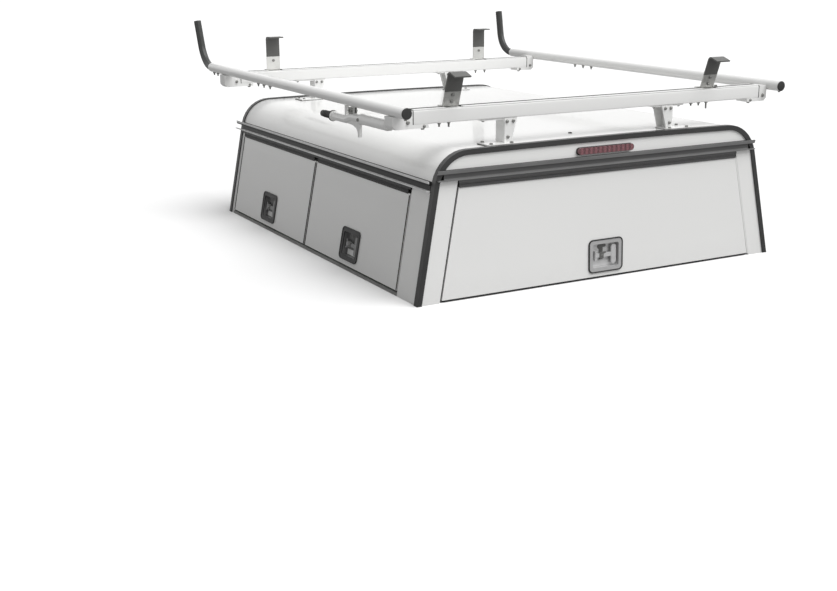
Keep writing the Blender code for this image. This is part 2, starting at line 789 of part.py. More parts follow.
def make_brake_light(finish):
    left, right = LIGHT_MIDDLE - LIGHT_LENGTH / 2, LIGHT_MIDDLE + LIGHT_LENGTH / 2
    outline = rounded_rectangle(
        (left, LIGHT_BOTTOM), (right, LIGHT_BOTTOM + LIGHT_HEIGHT), LIGHT_CORNER, 5
    )
    low = -AXIS_INSET + GAP
    return outline_solid("brake_light", [outline], low, low + LIGHT_DEPTH, rear_face(), finish)


def make_bow(name, y, finish):
    """A roof bow of rolled channel, from one side rail's ledge to the other."""
    inset = SKIN + GAP + BOW_DEPTH
    start = SIDE_LEAN + (SIDE_LEDGE + 2 * GAP - TANGENT_HEIGHT) / (ROOF_BEND - inset)
    outer = roof_line(-SKIN - GAP, start)
    inner = roof_line(-inset, start)
    half = BOW_WIDTH / 2
    bow = outline_solid(name, [ring(outer, inner)], -half, half, upright(REAR_Y + y), finish)
    return smooth(as_mesh(bow))


def hinge_empty(name, place, parent=None):
    """The pivot that a moving piece hangs on."""
    pivot = bpy.data.objects.new(name, None)
    pivot.empty_display_size = 0.05
    pivot.matrix_world = place
    parts.objects.link(pivot)
    if parent:
        attach(pivot, parent)
    return pivot


def attach(child, pivot):
    bpy.context.view_layer.update()
    place = child.matrix_world.copy()
    child.parent = pivot
    child.matrix_parent_inverse = pivot.matrix_world.inverted()
    child.matrix_world = place


def door_outline(corners, inset):
    """The four corners moved inward by the frame's width, for level top and bottom edges."""
    low_left, low_right, high_right, high_left = corners
    return [
        (low_left[0] + inset, low_left[1] + inset),
        (low_right[0] - inset, low_right[1] + inset),
        (high_right[0] - inset, high_right[1] - inset),
        (high_left[0] + inset, high_left[1] - inset),
    ]


def make_door(name, corners, frame, hinge_height, lock_place, leaf_margin, finishes):
    """A door: a skin over a perimeter frame, the hinge leaf, the lock's tub and its handle."""
    white, black, plastic, steel = finishes
    pivot_place = frame @ Matrix.Translation((0, hinge_height, -AXIS_INSET))
    pivot = hinge_empty(f"{name}_hinge", pivot_place)
    door = outline_solid(name, [corners], -DOOR_THICKNESS, 0, frame, white)
    door = as_mesh(door)
    pocket = door_outline(corners, DOOR_FRAME)
    hollow = outline_solid(
        f"{name}_pocket", [pocket], -2 * DOOR_THICKNESS, -DOOR_SKIN, frame, white
    )
    cut(door, as_mesh(hollow))
    half = (LOCK_WIDTH / 2 - BEZEL_WIDTH, LOCK_HEIGHT / 2 - BEZEL_WIDTH)
    lock_frame = frame @ Matrix.Translation((*lock_place, 0))
    opening = rounded_rectangle((-half[0], -half[1]), half, LOCK_HOLE_CORNER)
    window = outline_solid(
        f"{name}_lock_hole", [opening], -CUT_MARGIN, CUT_MARGIN, lock_frame, white
    )
    cut(door, as_mesh(window))
    left = min(c[0] for c in corners[2:]) + leaf_margin
    right = max(c[0] for c in corners[2:]) - leaf_margin
    leaf_frame = frame_of(
        frame @ Vector((0, hinge_height, -AXIS_INSET)), frame.col[2].to_3d(), frame.col[1].to_3d()
    )
    leaf = outline_solid(f"{name}_leaf", [leaf_profile()], -right, -left, leaf_frame, black)
    tub = make_tub(f"{name}_lock", lock_frame, steel)
    handle_frame = lock_frame @ Matrix.Translation((HANDLE_PIVOT, 0, -HANDLE_DEPTH))
    handle_pivot = hinge_empty(f"{name}_handle_pivot", handle_frame, pivot)
    handle = make_handle(f"{name}_handle", handle_frame, plastic)
    attach(handle, handle_pivot)
    for piece in (door, leaf, tub):
        attach(piece, pivot)


def make_tub(name, frame, finish):
    """The lock's moulded dish: a bezel on the skin, and a tub with two ears for the handle."""
    outer = (LOCK_WIDTH / 2, LOCK_HEIGHT / 2)
    bezel = rounded_rectangle((-outer[0], -outer[1]), outer, LOCK_CORNER)
    dish = as_mesh(outline_solid(name, [bezel], GAP, GAP + BEZEL_THICKNESS, frame, finish))
    wall = BEZEL_WIDTH + GAP
    half = (outer[0] - wall, outer[1] - wall)
    block = rounded_rectangle((-half[0], -half[1]), half, LOCK_HOLE_CORNER - GAP)
    join(dish, as_mesh(outline_solid(f"{name}_body", [block], -TUB_DEPTH, FIT, frame, finish)))
    low = (half[0] - TUB_WALL, half[1] - TUB_WALL)
    recess = rounded_rectangle((-low[0], -low[1]), low, LOCK_HOLE_CORNER - GAP - TUB_WALL)
    floor = -TUB_DEPTH + TUB_WALL
    hollow = outline_solid(f"{name}_recess", [recess], floor, CUT_MARGIN, frame, finish)
    cut(dish, as_mesh(hollow))
    ear_half = HANDLE_BARREL
    ear_top = -HANDLE_DEPTH + HANDLE_BARREL
    for end in (-1, 1):
        spans = sorted(
            end * (BARREL_LENGTH / 2 + extra) for extra in (GAP, GAP + EAR_THICKNESS)
        )
        low_corner = (HANDLE_PIVOT - ear_half, spans[0], floor - FIT)
        high_corner = (HANDLE_PIVOT + ear_half, spans[1], ear_top)
        join(dish, box(f"{name}_ear", low_corner, high_corner, finish, frame))
    return dish


def make_handle(name, frame, finish):
    """The folding T handle: a barrel on the pivot, a stem and an upright grip."""
    half = BARREL_LENGTH / 2
    steps = 12
    barrel = arc((0, 0), HANDLE_BARREL, 0, 2 * math.pi * (steps - 1) / steps, steps - 1)
    turned = frame @ frame_of((0, 0, 0), (1, 0, 0), (0, 0, 1))
    handle = as_mesh(outline_solid(name, [barrel], -half, half, turned, finish))
    reach = GRIP_END - HANDLE_PIVOT
    stem = rectangle((0, -STEM_WIDTH / 2), (reach - GRIP_WIDTH / 2, STEM_WIDTH / 2))
    thick = STEM_THICKNESS / 2
    join(handle, as_mesh(outline_solid(f"{name}_stem", [stem], -thick, thick, frame, finish)))
    grip = rounded_rectangle(
        (reach - GRIP_WIDTH, -GRIP_HEIGHT / 2), (reach, GRIP_HEIGHT / 2), GRIP_CORNER, 3
    )
    thick = GRIP_THICKNESS / 2
    join(handle, as_mesh(outline_solid(f"{name}_grip", [grip], -thick, thick, frame, finish)))
    return handle


def make_side_doors(side, finishes):
    frame = side_face(side)
    top = SIDE_HINGE_HEIGHT - DOOR_TOP_DROP
    slope = math.tan(REAR_LEAN)
    for end, (low, high) in (("rear", REAR_SIDE_DOOR), ("front", FRONT_SIDE_DOOR)):
        shift = slope if end == "rear" else 0.0
        corners = [
            (low + shift * SIDE_DOOR_BOTTOM, SIDE_DOOR_BOTTOM),
            (high, SIDE_DOOR_BOTTOM),
            (high, top),
            (low + shift * top, top),
        ]
        corners = [(side * y, u) for y, u in corners]
        if side < 0:
            corners = [corners[1], corners[0], corners[3], corners[2]]
        lock = (side * (low + high) / 2, SIDE_LOCK_HEIGHT)
        name = f"{side_name(side)}_{end}_door"
        make_door(name, corners, frame, SIDE_HINGE_HEIGHT, lock, SIDE_LEAF_MARGIN, finishes)


def make_rear_door(finishes):
    bottom, top = REAR_DOOR_BOTTOM, REAR_HINGE_HEIGHT - DOOR_TOP_DROP
    tan = math.tan(SIDE_LEAN)
    corners = [
        (-REAR_DOOR_HALF + bottom * tan, bottom),
        (REAR_DOOR_HALF - bottom * tan, bottom),
        (REAR_DOOR_HALF - top * tan, top),
        (-REAR_DOOR_HALF + top * tan, top),
    ]
    lock = (0, REAR_LOCK_HEIGHT)
    frame = rear_face()
    make_door("rear_door", corners, frame, REAR_HINGE_HEIGHT, lock, REAR_LEAF_MARGIN, finishes)


def tube_axis(y):
    """The height of the side tubes' axis at a place along the truck."""
    return TUBE_HEIGHT + (y - REAR_BAR) * TUBE_SLOPE


def make_crossbar(name, y, finish):
    """A hollow bar, with a casting under and beyond each end that carries the side tube."""
    half = BAR_DEPTH / 2
    frame = frame_of((0, REAR_Y + y, BAR_BOTTOM), (0, 1, 0), (0, 0, 1))
    outer = rounded_rectangle((-half, 0), (half, BAR_HEIGHT), BAR_CORNER, 2)
    inner = rectangle((-half + BAR_WALL, BAR_WALL), (half - BAR_WALL, BAR_HEIGHT - BAR_WALL))
    bar = as_mesh(outline_solid(name, [outer, inner], -BAR_HALF, BAR_HALF, frame, finish))
    section = frame_of((0, REAR_Y + y, 0), (1, 0, 0), (0, 0, 1))
    for side in (-1, 1):
        outline = [(side * x, z) for x, z in casting_outline(side, tube_axis(y))]
        casting = outline_solid(f"{name}_casting", [outline], -half, half, section, finish)
        join(bar, as_mesh(casting))
    return bar


def casting_outline(side, axis):
    """The casting from the side: a floor under the bar, an end block and a seat for the tube."""
    outer = LEFT_CASTING if side < 0 else RIGHT_CASTING
    radius = TUBE_RADIUS + 2 * GAP
    floor = BAR_BOTTOM - CASTING_FLOOR
    inner = BAR_HALF + CASTING_LIP
    first = -math.acos(max(-1, min(0.5, (outer - TUBE_OFFSET) / radius)))
    seat = arc((TUBE_OFFSET, axis), radius, first, -math.pi, 6)
    low = [
        (CASTING_INNER, floor),
        (outer - CASTING_CORNER, floor),
        (outer, floor + CASTING_CORNER),
    ]
    if outer > seat[0][0] + FIT:
        low.append((outer, seat[0][1]))
    top = BAR_BOTTOM + BAR_HEIGHT
    high = [(seat[-1][0], top + FIT)] if axis < top else []
    return [*low, *seat, *high, (inner, seat[-1][1]), (inner, BAR_BOTTOM + FIT),
            (CASTING_INNER, BAR_BOTTOM + FIT)]


def make_tube(side, finish):
    """A side tube, open at its front for the horn and at its rear."""
    last = 2 * math.pi * (TUBE_SIDES - 1) / TUBE_SIDES
    circle = arc((0, 0), TUBE_RADIUS, 0, last, TUBE_SIDES - 1)
    bore = arc((0, 0), TUBE_RADIUS - TUBE_WALL, 0, last, TUBE_SIDES - 1)
    origin = (side * TUBE_OFFSET, REAR_Y + TUBE_REAR, tube_axis(TUBE_REAR))
    frame = frame_of(origin, (1, 0, 0), (0, -TUBE_SLOPE, 1))
    length = TUBE_FRONT - TUBE_REAR
    tube = outline_solid(f"{side_name(side)}_tube", [circle, bore], -length, 0, frame, finish)
    return smooth(as_mesh(tube))


def make_horn(side, finish):
    """The upturned bar in a side tube's front end."""
    start = TUBE_FRONT + HORN_LEAD
    line = [(TUBE_FRONT - HORN_OVERLAP, tube_axis(TUBE_FRONT - HORN_OVERLAP))]
    first = math.atan(TUBE_SLOPE)
    foot = tube_axis(start)
    center = (start - HORN_BEND * math.sin(first), foot + HORN_BEND * math.cos(first))
    down = -math.pi / 2
    line += arc(center, HORN_BEND, down + first, down + HORN_ANGLE, 9)
    last = line[-1]
    run, rise = HORN_STRAIGHT * math.cos(HORN_ANGLE), HORN_STRAIGHT * math.sin(HORN_ANGLE)
    line.append((last[0] + run, last[1] + rise))
    path = []
    for y, z in line:
        splay = max(0, z - foot) * math.tan(HORN_SPLAY)
        path.append((side * (TUBE_OFFSET + splay), REAR_Y + y, z))
    return smooth(as_mesh(rod(f"{side_name(side)}_horn", path, HORN_RADIUS, finish)))


def make_latch(finish, grip_finish):
    """The shaft, cast body, lever and hanger under the left tube, and the grip on its front."""
    x = -TUBE_OFFSET
    dropped = LATCH_HEIGHT - LATCH_DROP
    thin = LATCH_BODY / LATCH_SHAFT
    steps = (
        (REAR_BAR + BAR_DEPTH / 2 + GAP, LATCH_HEIGHT, 1),
        (SHAFT_END, LATCH_HEIGHT, 1),
        (SHAFT_END + FIT, LATCH_HEIGHT, thin),
        (LATCH_HANGER[0], LATCH_HEIGHT, thin),
        (LATCH_HANGER[1], dropped, thin),
        (LATCH_END, dropped, thin),
    )
    line = [(x, REAR_Y + y, z) for y, z, _ in steps]
    shares = [share for _, _, share in steps]
    latch = as_mesh(rod("rack_latch", line, LATCH_SHAFT, finish, shares))
    half = LEVER_WIDTH / 2
    low = (x - half, REAR_Y + LEVER_PLACE, LATCH_HEIGHT - LATCH_BODY - LEVER_DROP)
    high = (x + half, REAR_Y + LEVER_PLACE + LEVER_WIDTH, LATCH_HEIGHT)
    join(latch, box("rack_latch_lever", low, high, finish))
    for place in LATCH_HANGER:
        top = tube_axis(place) - TUBE_RADIUS - GAP
        low = (x - half, REAR_Y + place - half, dropped)
        join(latch, box("rack_latch_hanger", low, (x + half, REAR_Y + place + half, top), finish))
    grip = [(x, REAR_Y + LATCH_END + GAP, dropped), (x, REAR_Y + GRIP_TIP, dropped)]
    smooth(as_mesh(rod("rack_grip", grip, GRIP_RADIUS, grip_finish)))
    return latch


def make_foot(side, end, y, finish):
    """A tapered channel, open to the middle, between its base plate and a clamp under the bar."""
    name = f"{side_name(side)}_{end}_foot"
    web = LEFT_FOOT if side < 0 else RIGHT_FOOT
    seat = roof_height(abs(web) + FOOT_PLATE_OUT - FOOT_PLATE[0] / 2) + FOOT_SEAT
    frame = frame_of((0, REAR_Y + y, 0), (1, 0, 0), (0, 0, 1))
    top = BAR_BOTTOM - GAP
    low = seat + FOOT_PLATE_THICKNESS - FIT
    outer = [
        (web, low),
        (web - side * FOOT_BOTTOM_WIDTH, low),
        (web - side * FOOT_TOP_WIDTH, top),
        (web, top),
    ]
    half = FOOT_DEPTH / 2
    foot = as_mesh(outline_solid(name, [outer], -half, half, frame, finish))
    inner = sorted((web - side * FOOT_WALL, web - side * (FOOT_TOP_WIDTH + CUT_MARGIN)))
    low_corner = (inner[0], REAR_Y + y - half + FOOT_WALL, low - CUT_MARGIN)
    high_corner = (inner[1], REAR_Y + y + half - FOOT_WALL, top + CUT_MARGIN)
    cut(foot, box(f"{name}_hollow", low_corner, high_corner, finish))
    wide, long = FOOT_PLATE
    middle = web + side * FOOT_PLATE_OUT
    low_corner = (middle - wide / 2, REAR_Y + y + half - long, seat)
    high_corner = (middle + wide / 2, REAR_Y + y + half, seat + FOOT_PLATE_THICKNESS)
    join(foot, box(f"{name}_plate", low_corner, high_corner, finish))
    wide, long = FOOT_CLAMP
    middle = web + CLAMP_SHIFT
    low_corner = (middle - wide / 2, REAR_Y + y - long / 2, top - FOOT_PLATE_THICKNESS)
    high_corner = (middle + wide / 2, REAR_Y + y + long / 2, top)
    join(foot, box(f"{name}_clamp", low_corner, high_corner, finish))
    return foot


def roof_height(x):
    """The roof's height at a distance from its middle line."""
    return ROOF_TOP + ROOF_CROWN * (1 - min(1, abs(x) / BEND_X) ** 2)


def make_stop(name, x, y, shape, finish):
    """A load stop of flat bar on the crossbar: a base to the front, an upright, a rearward top."""
    length, flange, lean = shape
    seat = BAR_BOTTOM + BAR_HEIGHT + GAP
    top = (y - length * math.sin(lean), seat + length * math.cos(lean))
    tip = (top[0] - flange * math.cos(lean), top[1] - flange * math.sin(lean))
    path = bent([tip, top, (y, seat), (y + STOP_BASE, seat)], STOP_BEND)
    outline = sheet_outline(path, STOP_PLATE_THICKNESS)
    frame = frame_of((x, REAR_Y, 0), (0, 1, 0), (0, 0, 1))
    half = STOP_PLATE_WIDTH / 2
    return smooth(as_mesh(outline_solid(name, [outline], -half, half, frame, finish)))


def make_strip(name, y, low, high, finish):
    """The grooved rubber on a crossbar's top, between the middles of its two load stops."""
    half = [
        (STRIP_HALF, 0),
        (STRIP_HALF, STRIP_SHOULDER),
        (STRIP_HALF - STRIP_EDGE, STRIP_HEIGHT),
        (STRIP_RIB + STRIP_GROOVE, STRIP_HEIGHT),
        (STRIP_RIB + STRIP_GROOVE / 2, STRIP_SHOULDER),
        (STRIP_RIB, STRIP_HEIGHT),
    ]
    outline = half + [(-across, up) for across, up in reversed(half)]
    frame = frame_of((0, REAR_Y + y, BAR_BOTTOM + BAR_HEIGHT + GAP), (0, 1, 0), (0, 0, 1))
    margin = STOP_PLATE_WIDTH / 2 + STRIP_END
    return outline_solid(name, [outline], low + margin, high - margin, frame, finish)


def main():
    clear_scene()
    white = material("White paint", WHITE, 0.35)
    black = material("Black extrusion", SHADE_BLACK, 0.45)
    plastic = material("Black plastic", SHADE_BLACK, 0.5)
    bare = material("Bare aluminium", ALUMINIUM, 0.4, 0.9)
    red = material("Red lens", RED, 0.15)
    glass = material("Tinted glass", GLASS_TINT, 0.05)
    steel = material("Lock steel", STEEL, 0.35, 0.9)
    finishes = (white, black, plastic, steel)
    make_roof_skin(white)
    make_rear_rail(black)
    make_header(white)
    make_brake_light(red)
    make_bead("rear_bead", REAR_Y, 1, lean_rear(), black)
    make_bead("front_bead", FRONT_Y, -1, None, black)
    make_front_wall(white)
    make_front_window(glass)
    make_bow("rear_bow", REAR_BAR, bare)
    make_bow("front_bow", FRONT_BAR, bare)
    for side in (-1, 1):
        make_side_rail(side, black)
        make_base_rail(side, white)
        make_mullion(side, white)
        make_post(side, "rear", white)
        make_post(side, "front", white)
        make_side_doors(side, finishes)
        make_tube(side, white)
        make_horn(side, black)
        make_foot(side, "rear", REAR_BAR, white)
        make_foot(side, "front", FRONT_BAR, white)
    make_rear_door(finishes)
    make_crossbar("rear_crossbar", REAR_BAR, white)
    make_crossbar("front_crossbar", FRONT_BAR, white)
    make_latch(white, plastic)
    make_stop("left_rear_stop", LEFT_REAR_STOP, REAR_BAR, REAR_STOP, bare)
    make_stop("right_rear_stop", RIGHT_REAR_STOP, REAR_BAR, REAR_STOP, bare)
    make_stop("left_front_stop", LEFT_FRONT_STOP, FRONT_BAR, FRONT_STOP, bare)
    make_stop("right_front_stop", RIGHT_FRONT_STOP, FRONT_BAR, FRONT_STOP, bare)
    make_strip("rear_bar_strip", REAR_BAR, LEFT_REAR_STOP, RIGHT_REAR_STOP, plastic)
    make_strip("front_bar_strip", FRONT_BAR, LEFT_FRONT_STOP, RIGHT_FRONT_STOP, plastic)


main()
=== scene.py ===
# %% [markdown]
# # A pickup truck canopy with a ladder rack
#
# The solids of the canopy are made elsewhere and packed as a fixed frame, and this lesson
# dresses them: it paints each solid with a material of shader nodes, adds the rubber, the
# bolts and the small trim, and sets up the studio. The frame comes first because every
# later cell measures itself against it.

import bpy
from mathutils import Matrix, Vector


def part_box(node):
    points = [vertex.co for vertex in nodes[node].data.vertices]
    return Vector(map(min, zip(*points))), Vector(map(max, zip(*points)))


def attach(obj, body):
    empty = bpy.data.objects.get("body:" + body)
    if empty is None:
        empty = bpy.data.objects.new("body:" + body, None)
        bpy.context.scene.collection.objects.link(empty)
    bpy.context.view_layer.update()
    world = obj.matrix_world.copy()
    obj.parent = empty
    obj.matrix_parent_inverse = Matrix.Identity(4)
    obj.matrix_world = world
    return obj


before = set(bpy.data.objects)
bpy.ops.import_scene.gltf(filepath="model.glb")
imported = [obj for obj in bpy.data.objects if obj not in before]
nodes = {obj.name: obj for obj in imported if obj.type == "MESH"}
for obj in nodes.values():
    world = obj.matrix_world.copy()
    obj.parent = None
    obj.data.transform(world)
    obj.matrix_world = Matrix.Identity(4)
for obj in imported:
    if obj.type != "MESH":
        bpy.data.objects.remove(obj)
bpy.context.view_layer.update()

# %% [markdown]
# The other modules are Blender's own. `bmesh` edits meshes, and `mathutils` holds vectors and
# matrices.

# %% Modules
import math

import bmesh
import bpy
from mathutils import Matrix, Vector

# %% [markdown]
# The shell's rear face and side faces lean inwards, so a piece on one of them is easiest to
# place in that face's own axes. A face gets a matrix whose X and Y lie in the face and whose
# Z leaves it. The numbers are the shell's driving dimensions, and the rear face's place is
# read from the rear bead, which stands 5 mm proud of it.

# %% The faces of the shell
HALF_WIDTH = 0.803
SHELL_LENGTH = 1.893
SIDE_LEAN = math.atan(0.2)
REAR_LEAN = math.atan(0.0447)
REAR_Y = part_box("rear_bead")[0].y + 0.005


def face_matrix(origin, across, up):
    across, up = Vector(across).normalized(), Vector(up).normalized()
    matrix = Matrix((across, up, across.cross(up))).transposed().to_4x4()
    matrix.translation = origin
    return matrix


def side_face(side):
    up = (-side * math.sin(SIDE_LEAN), 0, math.cos(SIDE_LEAN))
    return face_matrix((side * HALF_WIDTH, REAR_Y, 0), (0, side, 0), up)


REAR_FACE = face_matrix(
    (0, REAR_Y, 0), (1, 0, 0), (0, math.sin(REAR_LEAN), math.cos(REAR_LEAN))
)
print("rear face at", round(REAR_Y, 4))

# %% [markdown]
# Shader maths reads best as arithmetic. One small class wraps an output socket, and adding
# or multiplying such sockets adds Math nodes to the material. Two reflected forms let a
# number stand on the left, as in `1 - mask` and `0.3 + mask`.

# %% Sockets that calculate
class Socket:
    def __init__(self, tree, output):
        self.tree = tree
        self.output = output

    def math(self, operation, first, second=0.0):
        return node(self.tree, "ShaderNodeMath", {"operation": operation}, {0: first, 1: second})

    def __add__(self, other):
        return self.math("ADD", self, other)

    def __sub__(self, other):
        return self.math("SUBTRACT", self, other)

    def __rsub__(self, other):
        return self.math("SUBTRACT", other, self)

    def __mul__(self, other):
        return self.math("MULTIPLY", self, other)

    def __truediv__(self, other):
        return self.math("DIVIDE", self, other)

    def __abs__(self):
        return self.math("ABSOLUTE", self)

    __radd__ = __add__

    def sine(self):
        return self.math("SINE", self)

    def clamped(self):
        return node(self.tree, "ShaderNodeClamp", {}, {"Value": self})


# %% [markdown]
# Every other node is made by one function. It takes the node's type, the settings that have
# to be there before its sockets are used, and the values or links of its sockets.

# %% One function for every node
def node(tree, kind, settings, sockets, output=0):
    made = tree.nodes.new(kind)
    for name, value in settings.items():
        setattr(made, name, value)
    for name, value in sockets.items():
        if isinstance(value, Socket):
            tree.links.new(value.output, made.inputs[name])
        elif isinstance(value, tuple) and len(value) == 3 and made.inputs[name].type == "RGBA":
            made.inputs[name].default_value = (*value, 1.0)
        else:
            made.inputs[name].default_value = value
    return Socket(tree, made.outputs[output])


# %% [markdown]
# All the textures here use the object's own coordinates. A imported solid's object sits at
# the origin, so these are metres in the canopy's frame, and they travel with a door when it
# opens. Small helpers give the coordinates, one axis of them, a noise, a mask with a steep
# edge and a mix of two colours.

# %% Coordinates, noise, masks and mixed colours
STEEP = 900.0  # a mask goes from 0 to 1 in 1/900 m, about a millimetre


def coordinates(tree):
    return node(tree, "ShaderNodeTexCoord", {}, {}, "Object")


def axes(tree):
    split = node(tree, "ShaderNodeSeparateXYZ", {}, {0: coordinates(tree)}, "X")
    outputs = split.output.node.outputs
    return Socket(tree, outputs["X"]), Socket(tree, outputs["Y"]), Socket(tree, outputs["Z"])


def noise(tree, scale, detail=3.0, stretch=(1.0, 1.0, 1.0), roughness=0.5):
    place = node(
        tree, "ShaderNodeVectorMath", {"operation": "MULTIPLY"}, {0: coordinates(tree), 1: stretch}
    )
    sockets = {"Vector": place, "Scale": scale, "Detail": detail, "Roughness": roughness}
    return node(tree, "ShaderNodeTexNoise", {}, sockets)


def above(value, level):
    return ((value - level) * STEEP).clamped()


def mixed(tree, share, first, second):
    sockets = {"Factor": share, "A": first, "B": second}
    made = tree.nodes.new("ShaderNodeMix")
    made.data_type = "RGBA"
    for name, value in sockets.items():
        wanted = "VALUE" if name == "Factor" else "RGBA"
        socket = next(s for s in made.inputs if s.name == name and s.type == wanted)
        if isinstance(value, Socket):
            tree.links.new(value.output, socket)
        else:
            socket.default_value = (*value, 1.0) if wanted == "RGBA" else value
    result = next(s for s in made.outputs if s.type == "RGBA")
    return Socket(tree, result)


# %% [markdown]
# A material is started empty and closed with one Principled shader. What is the same all
# over the surface goes straight on its sockets, and what varies comes in as a link.

# %% Starting and closing a material
def new_material(name):
    made = bpy.data.materials.new(name)
    made.use_nodes = True
    made.node_tree.nodes.clear()
    return made, made.node_tree


def close(made, sockets, height=None, depth=0.001):
    tree = made.node_tree
    if height is not None:
        sockets["Normal"] = node(
            tree, "ShaderNodeBump", {}, {"Height": height, "Distance": depth, "Strength": 1.0}
        )
    shader = node(tree, "ShaderNodeBsdfPrincipled", {}, sockets)
    end = tree.nodes.new("ShaderNodeOutputMaterial")
    tree.links.new(shader.output, end.inputs["Surface"])
    print("material", made.name, "has", len(tree.nodes), "nodes")
    return made


# %% [markdown]
# The doors, the roof and the posts are aluminium sheet in gloss white. Real coated sheet is
# never one flat white: the coat has an orange peel of a few millimetres, the tone drifts a
# little over a metre, and road dust stays in the lower edge. Noise at two sizes gives the
# drift and the peel, and the height above the base gives the dust.

# %% White paint on sheet
DUST_HEIGHT = 0.09


def white_paint(name, tone, dust):
    made, tree = new_material(name)
    z = axes(tree)[2]
    drift = noise(tree, 1.6, 2.0)
    specks = noise(tree, 60.0, 5.0, roughness=0.7)
    low = (1 - z / DUST_HEIGHT).clamped() * dust
    soil = (low * specks + drift * 0.16).clamped()
    color = mixed(tree, soil, tone, tuple(c * 0.80 for c in tone))
    peel = noise(tree, 160.0, 1.0)
    rough = 0.30 + (drift - 0.5) * 0.10 + low * 0.2
    return close(
        made,
        {"Base Color": color, "Roughness": rough, "Coat Weight": 0.35, "Coat Roughness": 0.06},
        peel,
        0.00005,
    )


PAINT = white_paint("paint_white", (0.81, 0.81, 0.80), 0.35)
RACK_PAINT = white_paint("paint_rack", (0.84, 0.84, 0.83), 0.0)

# %% [markdown]
# The rails over the doors and the beads at the corners are extruded aluminium with a satin
# black coat. An extrusion carries fine lines along its length. The lines come from noise
# that is squeezed hard along one axis, so each piece needs the axis that it runs along. The
# rails' two lips get a lighter tone, which is a painted highlight where their edges catch the
# light. A point's distance out of the face and its height up the face pick them out.

# %% Black extrusion
def place_on_face(tree, rear):
    """How far a point stands out of the leaning rear or side face, and its height up it."""
    x, y, z = axes(tree)
    lean = REAR_LEAN if rear else SIDE_LEAN
    if rear:
        proud = (REAR_Y + z * math.tan(lean) - y) * math.cos(lean)
    else:
        proud = (abs(x) + z * math.tan(lean) - HALF_WIDTH) * math.cos(lean)
    return proud, (z - proud * math.sin(lean)) / math.cos(lean)


def between(value, low, high):
    return above(value, low) * ((high - value) * STEEP).clamped()


def black_extrusion(name, stretch, dark, light, shine, rear=None, lip_highlights=()):
    made, tree = new_material(name)
    lines = noise(tree, 1.0, 4.0, stretch, 0.6)
    cloud = noise(tree, 9.0, 3.0)
    color = mixed(tree, (cloud * 0.6 + lines * 0.4).clamped(), dark, light)
    rough = 0.34 + lines * 0.16 + (cloud - 0.5) * 0.08
    if lip_highlights:
        proud, height = place_on_face(tree, rear)
        # Each band is a painted highlight: a lighter tone where a lip's edge catches the light.
        for low, high, out, bright in lip_highlights:
            highlight_mask = between(height, low, high) * above(proud, out)
            color = mixed(tree, (highlight_mask * (0.60 + cloud * 0.6)).clamped(), color, (bright,) * 3)
    return close(
        made,
        {"Base Color": color, "Roughness": rough, "Specular IOR Level": shine,
         "Coat Weight": shine * 0.3, "Coat Roughness": 0.2},
        lines,
        0.0002,
    )


SIDE_HINGE = 0.3796
REAR_HINGE = 0.413
# Each row gives a lip's low and high height up the face, how far out it starts, and the tone of its
# painted highlight.
SIDE_LIP_HIGHLIGHTS = (
    (SIDE_HINGE + 0.0125, SIDE_HINGE + 0.0205, 0.004, 0.80),
    (SIDE_HINGE + 0.0420, SIDE_HINGE + 0.0520, 0.009, 0.85),
)
REAR_LIP_HIGHLIGHTS = (
    (REAR_HINGE + 0.0125, REAR_HINGE + 0.0220, 0.004, 0.17),
    (REAR_HINGE + 0.0370, REAR_HINGE + 0.0520, 0.008, 0.20),
)
# The same black extrusion comes in two copies. The rear one is lighter, which is painted light on the
# lit rear face, and the side one is darker, which is painted shade on the shaded sides.
ALONG_Y_SHADED = black_extrusion(
    "extrusion_along_side_shaded", (420.0, 2.0, 420.0), (0.008,) * 3, (0.022,) * 3, 0.22, False, SIDE_LIP_HIGHLIGHTS
)
ALONG_X_LIT = black_extrusion(
    "extrusion_along_rear_lit", (2.0, 420.0, 420.0), (0.044,) * 3, (0.082,) * 3, 0.5, True, REAR_LIP_HIGHLIGHTS
)
HOOP = black_extrusion("extrusion_hoop", (3.0, 500.0, 3.0), (0.016,) * 3, (0.038,) * 3, 0.4)

# %% [markdown]
# Rubber and moulded plastic are rougher than the coat and have no lines. The grain is a
# cell pattern under a millimetre across, which reads as a dull bloom from any distance.

# %% Rubber and black plastic
def rubber(name, tone, base_roughness, grain):
    made, tree = new_material(name)
    cloud = noise(tree, 30.0, 4.0)
    cells = node(tree, "ShaderNodeTexVoronoi", {}, {"Vector": coordinates(tree), "Scale": grain})
    color = mixed(tree, cloud, tuple(c * 0.8 for c in tone), tuple(c * 1.3 for c in tone))
    rough = base_roughness + (cloud - 0.5) * 0.2
    sockets = {"Base Color": color, "Roughness": rough, "Specular IOR Level": 0.25}
    return close(made, sockets, cells, 0.0001)


RUBBER = rubber("rubber_seal", (0.022, 0.022, 0.022), 0.62, 900.0)
GRIP = rubber("plastic_grip", (0.035, 0.035, 0.035), 0.45, 1400.0)
DIP = rubber("dipped_coat", (0.046, 0.047, 0.046), 0.30, 1100.0)
# This lighter dark plastic is painted shadow on the lock dishes' floors, and partly on the key covers.
DARK_PLASTIC_AND_SHADOW = rubber("plastic_and_painted_shadow", (0.125, 0.125, 0.122), 0.50, 1200.0)

# %% [markdown]
# Steel on the locks and bolts, and aluminium on the roof bows, show the tool that made them:
# a brushed grain along one axis, and a tone that clouds where hands and weather reach. A
# lock is pressed metal whose rim has a tone of its own. The side locks are a much darker
# copy of the rear lock's steel with a near-black rim, which is painted shade.

# %% Bare metal
def bare_metal(name, tone, stretch, base_roughness):
    made, tree = new_material(name)
    brushed = noise(tree, 1.0, 3.0, stretch, 0.6)
    cloud = noise(tree, 24.0, 5.0, roughness=0.65)
    color = mixed(tree, cloud, tuple(c * 0.78 for c in tone), tone)
    rough = base_roughness + (brushed - 0.5) * 0.18 + (cloud - 0.5) * 0.16
    return close(made, {"Base Color": color, "Roughness": rough, "Metallic": 0.9}, brushed, 0.00015)


